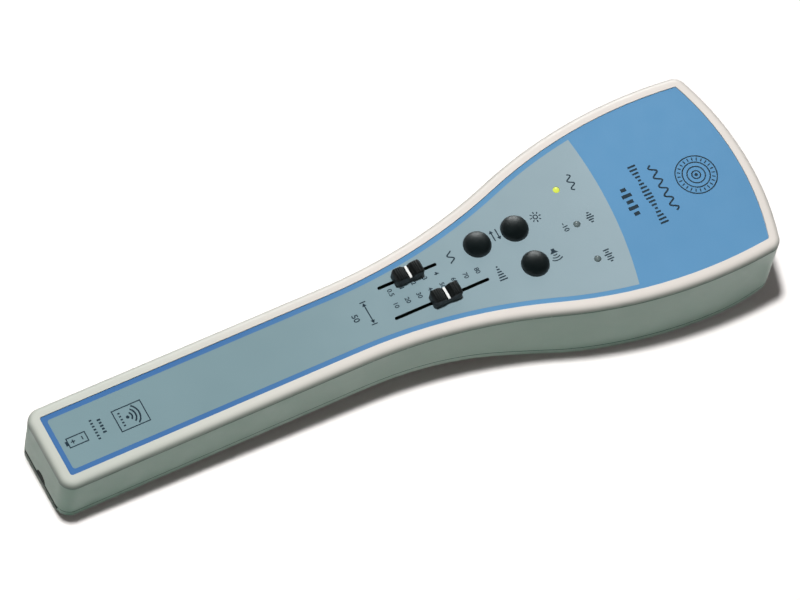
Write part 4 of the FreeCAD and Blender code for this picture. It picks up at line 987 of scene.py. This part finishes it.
def speaker_motor():
    """The magnet with its steel back plate."""
    block = [(0.0, 15.4), (16.4, 15.4), (16.4, 20.6), (15.2, 20.6)]
    plate = [(15.2, 20.6, 1), (15.2, 22.4, 1), (3.0, 22.4, 1), (2.6, 21.4, 1), (0.0, 21.4, 1)]
    bm = bmesh.new()
    lathe(bm, eased(block + plate, 0.5, 3), 72)
    moved(bm, 0, SPEAKER_SPOT)
    finishes = ["magnet_ferrite", "basket_steel"]
    piece("speaker_motor", to_mesh(bm), finishes, place=ROW, replaced=("speaker_magnet",), sharp=50.0)


def reward_light():
    """A clear lens with moulded steps, and the lamp above it."""
    bm = bmesh.new()
    steps = [(0.0, 1.2), (5.6, 1.2), (5.8, 1.4), (5.8, 2.05), (5.65, 2.2), (5.0, 2.2)]
    for n in range(4):
        steps += [(4.8 - 1.1 * n, 1.75), (4.0 - 1.1 * n, 2.12)]
    lathe(bm, steps + [(0.0, 2.0)], 64)
    moved(bm, 0, REWARD_SPOT)
    piece("stepped_lens", to_mesh(bm), ["lens_clear"], place=ROW, replaced=("reward_lens",), sharp=25.0)
    radius = 2.48
    bm = bmesh.new()
    dome = [(radius * sin(turn), 6.1 - radius * cos(turn)) for turn in quarter(10)]
    lathe(bm, dome + [(radius, 9.7), (2.3, 9.98), (0.0, 9.98)], 48)
    lathe(bm, [(0.0, 9.4), (0.9, 9.4), (0.9, 7.4), (1.5, 6.6), (0.8, 7.0), (0.0, 7.0)], 24, index=1)
    moved(bm, 0, REWARD_SPOT)
    finishes = ["lamp_clear", "contact_nickel"]
    piece("reward_lamp_body", to_mesh(bm), finishes, place=ROW, replaced=("reward_lamp",))


# ---- small parts under the board ----


def leg(bm, x, y, dx, dy):
    """A bent chip leg that runs from (x, y) outwards along (dx, dy)."""
    wide = (0.0 if dx else 0.22, 0.0 if dy else 0.22)
    for near, far, low, high in ((0.0, 0.65, -1.3, -1.1), (0.45, 0.65, -1.3, 0.0), (0.45, 1.2, -0.2, 0.0)):
        start = (x + dx * near - wide[0], y + dy * near - wide[1], BOARD_FOOT + low)
        box(bm, start, (x + dx * far + wide[0], y + dy * far + wide[1], BOARD_FOOT + high))


def chip_legs():
    """The legs of the controller and amplifier chips."""
    controller_x, controller_half, amplifier_x = 172.0, 6.0, 191.0
    bm = bmesh.new()
    for n in range(8):
        shift = 1.27 * (n - 3.5)
        for side in SIDES:
            leg(bm, controller_x + shift, controller_half * side, 0, side)
            leg(bm, controller_x + controller_half * side, shift, side, 0)
    for n in range(4):
        for side in SIDES:
            leg(bm, amplifier_x + 2.2 * (n - 1.5), 3.25 * side, 0, side)
    piece("chip_legs", to_mesh(bm), ["contact_nickel"])


CHIP_PARTS = {
    160.0: (6.0, 2.0, -2.0, -6.0), 182.0: (4.4, 0.0, -4.4), 199.5: (4.0, 0.0, -4.0), 206.0: (2.0, -2.0),
    214.0: (6.0, -6.0), 222.0: (4.0, -4.0), 230.0: (0.0,), 238.0: (8.0, -8.0),
}


def ceramic_parts():
    """Small ceramic parts with tinned ends."""
    bm = bmesh.new()
    for x, y in [(x, y) for x, ys in CHIP_PARTS.items() for y in ys]:
        box(bm, (x - 0.65, y - 0.62, BOARD_FOOT - 0.7), (x + 0.65, y + 0.62, BOARD_FOOT), 0.05)
        for side in SIDES:
            near, far = x + 0.65 * side, x + 1.05 * side
            box(bm, (near, y - 0.64, BOARD_FOOT - 0.74), (far, y + 0.64, BOARD_FOOT), 0.06, 1)
    piece("ceramic_parts", to_mesh(bm), ["part_ceramic", "contact_nickel"])


def crystal_can():
    bm = bmesh.new()
    box(bm, (166.5, 10.4, BOARD_FOOT - 3.4), (177.5, 14.8, BOARD_FOOT - 0.5), 1.2)
    box(bm, (165.9, 9.9, BOARD_FOOT - 0.5), (178.1, 15.3, BOARD_FOOT), 0.2)
    piece("crystal_can", to_mesh(bm), ["capacitor_can"])


def lead_sockets():
    """Two open sockets: the cells' leads come to the deep one, the lamp's and loudspeaker's to the other."""
    half_x, half_y, wall = 2.2, 3.6, 0.7
    bm = bmesh.new()
    for x, deep in ((122.5, 5.6), (246.0, 3.0)):
        low_face = BOARD_FOOT - deep
        box(bm, (x - half_x, -half_y, low_face), (x + half_x, half_y, low_face + 0.8), 0.15)
        for side in SIDES:
            near, far = x + (half_x - wall) * side, x + half_x * side
            box(bm, (near, -half_y, low_face), (far, half_y, BOARD_FOOT), 0.12)
            near, far = (half_y - wall) * side, half_y * side
            box(bm, (x - half_x, near, low_face), (x + half_x, far, BOARD_FOOT), 0.12)
    piece("lead_sockets", to_mesh(bm), ["socket_plastic"])


def solder_joints():
    """Tinned joints under the switches, lamps and faders."""
    spots = [(x + dx, y + dy) for x, y in KEYS.values() for dx in (-3.2, 3.2) for dy in (-2.2, 2.2)]
    spots += [(LAMP_X + side * 0.95, y) for y in LAMPS.values() for side in SIDES]
    for _, y, length in FADERS.values():
        after = SLOT_START + length + 5.0
        spots += [(SLOT_START - 5.0, y), (after, y), (after, y - 2.5)]
    bm = bmesh.new()
    for x, y in spots:
        start = len(bm.verts)
        lathe(bm, [(0.85, 0.0), (0.62, -0.22), (0.4, -0.7), (0.22, -0.95), (0.0, -1.0)], 16)
        moved(bm, start, Matrix.Translation((x, y, BOARD_FOOT)))
    piece("solder_joints", to_mesh(bm), ["contact_nickel"])


# ---- stage, in metres ----


def camera():
    """The photograph's view: a long lens from above the handle's near side, rolled to the left."""
    elevation = radians(61.5)
    azimuth = radians(-40.0015529)
    roll = radians(13.2677485)
    distance = 2.5321
    target = PANEL @ Vector((164.0, 0.0, 0.0))
    level = cos(elevation)
    back = Vector((sin(azimuth) * level, -cos(azimuth) * level, sin(elevation)))
    right = (-back).cross(Vector((0, 0, 1))).normalized()
    up = right.cross(-back)
    axes = (right * cos(roll) + up * sin(roll), up * cos(roll) - right * sin(roll), back)
    turned = Matrix.Rotation(-TILT, 3, "Y")
    data = bpy.data.cameras.new("camera")
    data.lens = 270.0
    data.sensor_width = 36.0
    data.shift_x = -0.002625
    data.shift_y = -0.001888
    data.clip_end = 100.0
    item = added("camera", data)
    basis = Matrix([turned @ axis for axis in axes]).transposed().to_4x4()
    item.matrix_world = Matrix.Translation(target + turned @ back * distance) @ basis
    bpy.context.scene.camera = item


def soft_box(name, spot, size, power, colour, glossy=False, diffuse=True):
    """A square light that faces the object. It can be left out of reflections, or be seen only in them."""
    data = bpy.data.lights.new(name, "AREA")
    data.size = size
    data.energy = power
    data.color = colour
    item = added(name, data)
    item.location = spot
    item.rotation_euler = (-Vector(spot)).to_track_quat("-Z", "Y").to_euler()
    item.visible_glossy = glossy
    item.visible_diffuse = diffuse


def floor_finish():
    """White where a ray from the camera sees it, greenish for the light that it throws back on the object.

    What is seen of it glows white further away, and a little warm near the object, in the shadow.
    """
    finish = Finish("floor", (0.12, 0.26, 0.21, 1.0), 1.0, Specular_IOR_Level=0.0)
    path = finish.add("LightPath")
    seen = path.outputs["Is Camera Ray"]
    for ray in ("Is Glossy Ray", "Is Transmission Ray"):
        seen = finish.pair("Math", "MAXIMUM", seen, path.outputs[ray])
    finish.mix(seen, (1.0, 0.98, 0.97, 1.0))
    away = finish.add("VectorMath", {"operation": "LENGTH"})
    finish.put(finish.add("NewGeometry").outputs["Position"], away.inputs[0])
    fade = finish.ramp(away.outputs["Value"], 0.022, 1.0, 0.28, 0.7)
    glow = finish.blend(fade, (1.0, 0.3, 0.4, 1.0), (1.0, 1.0, 1.0, 1.0))
    finish.put(glow, finish.shader.inputs["Emission Color"])
    finish.put(finish.pair("Math", "MULTIPLY", fade, seen), finish.shader.inputs["Emission Strength"])
    return finish.done()


def floor():
    """A pale floor, just below the object, that keeps the shadow and fades to white."""
    mesh = bpy.data.meshes.new("floor")
    reach = 12.0
    level = -0.05 * MM
    corners = [(x * reach, y * reach, level) for x, y in ((-1, -1), (1, -1), (1, 1), (-1, 1))]
    mesh.from_pydata(corners, [], [(0, 1, 2, 3)])
    mesh.materials.append(floor_finish())
    item = added("floor", mesh)


def world():
    sky = bpy.data.worlds.new("studio")
    sky.use_nodes = True
    back = sky.node_tree.nodes["Background"]
    back.inputs["Color"].default_value = (1.0, 0.93, 0.92, 1.0)
    back.inputs["Strength"].default_value = 0.05
    bpy.context.scene.world = sky


camera()
world()
floor()
soft_box("key_light", (-0.23, 0.19, 1.87), 0.17, 37.8, (1.0, 0.99, 0.98))
soft_box("end_fill", (-1.3, 0.1, 0.22), 0.4, 0.45, (0.75, 1.0, 0.92))
soft_box("near_fill", (-0.2, -1.3, 0.22), 0.4, 0.6, (0.6, 1.0, 0.9))
soft_box("head_fill", (1.3, -0.3, 0.22), 0.4, 1.3, (0.84, 1.0, 0.98))
soft_box("far_fill", (0.1, 1.3, 0.22), 0.4, 1.0, (0.8, 1.0, 0.94))
soft_box("back_card", (0.5, 0.9, 0.42), 0.6, 9.0, (0.95, 1.0, 1.0), glossy=True, diffuse=False)

piece("grey_zone", filled([zone_outline()] + openings(-0.05), ZONE_LEVEL), ["zone_ink"])
print_scale_numbers()
print_lamp_symbols()
print_key_symbols()
print_scale_symbols()
print_handle_symbols()
print_head_motif()
for name, (x, y) in KEYS.items():
    key(name, x, y)
for name, (x, y, length) in FADERS.items():
    fader_cap(name, x, y)
    slot_liner(name, y, length)
wall_line("parting_seam", "seam_shade", lambda x: underside(x) + COVER_DEPTH, 0.2)
# A painted shade line round the wall, just under the rim's rounding.
wall_line("painted_shade_under_rim", "under_rim_painted_shade", lambda x: -3.35, 0.3)
mouth_seal()
housing_screws()
cell("left", 6.0, 7.4, 1.0)
cell("right", 51.5, -7.4, -1.0)
speaker_diaphragm()
speaker_motor()
reward_light()
chip_legs()
ceramic_parts()
crystal_can()
lead_sockets()
solder_joints()
lamp("tone", "lamp_lit", "die_glow")
for name in ("noise", "warble"):
    lamp(name, "lamp_clear", "basket_steel")

bpy.context.scene.view_settings.view_transform = "Standard"
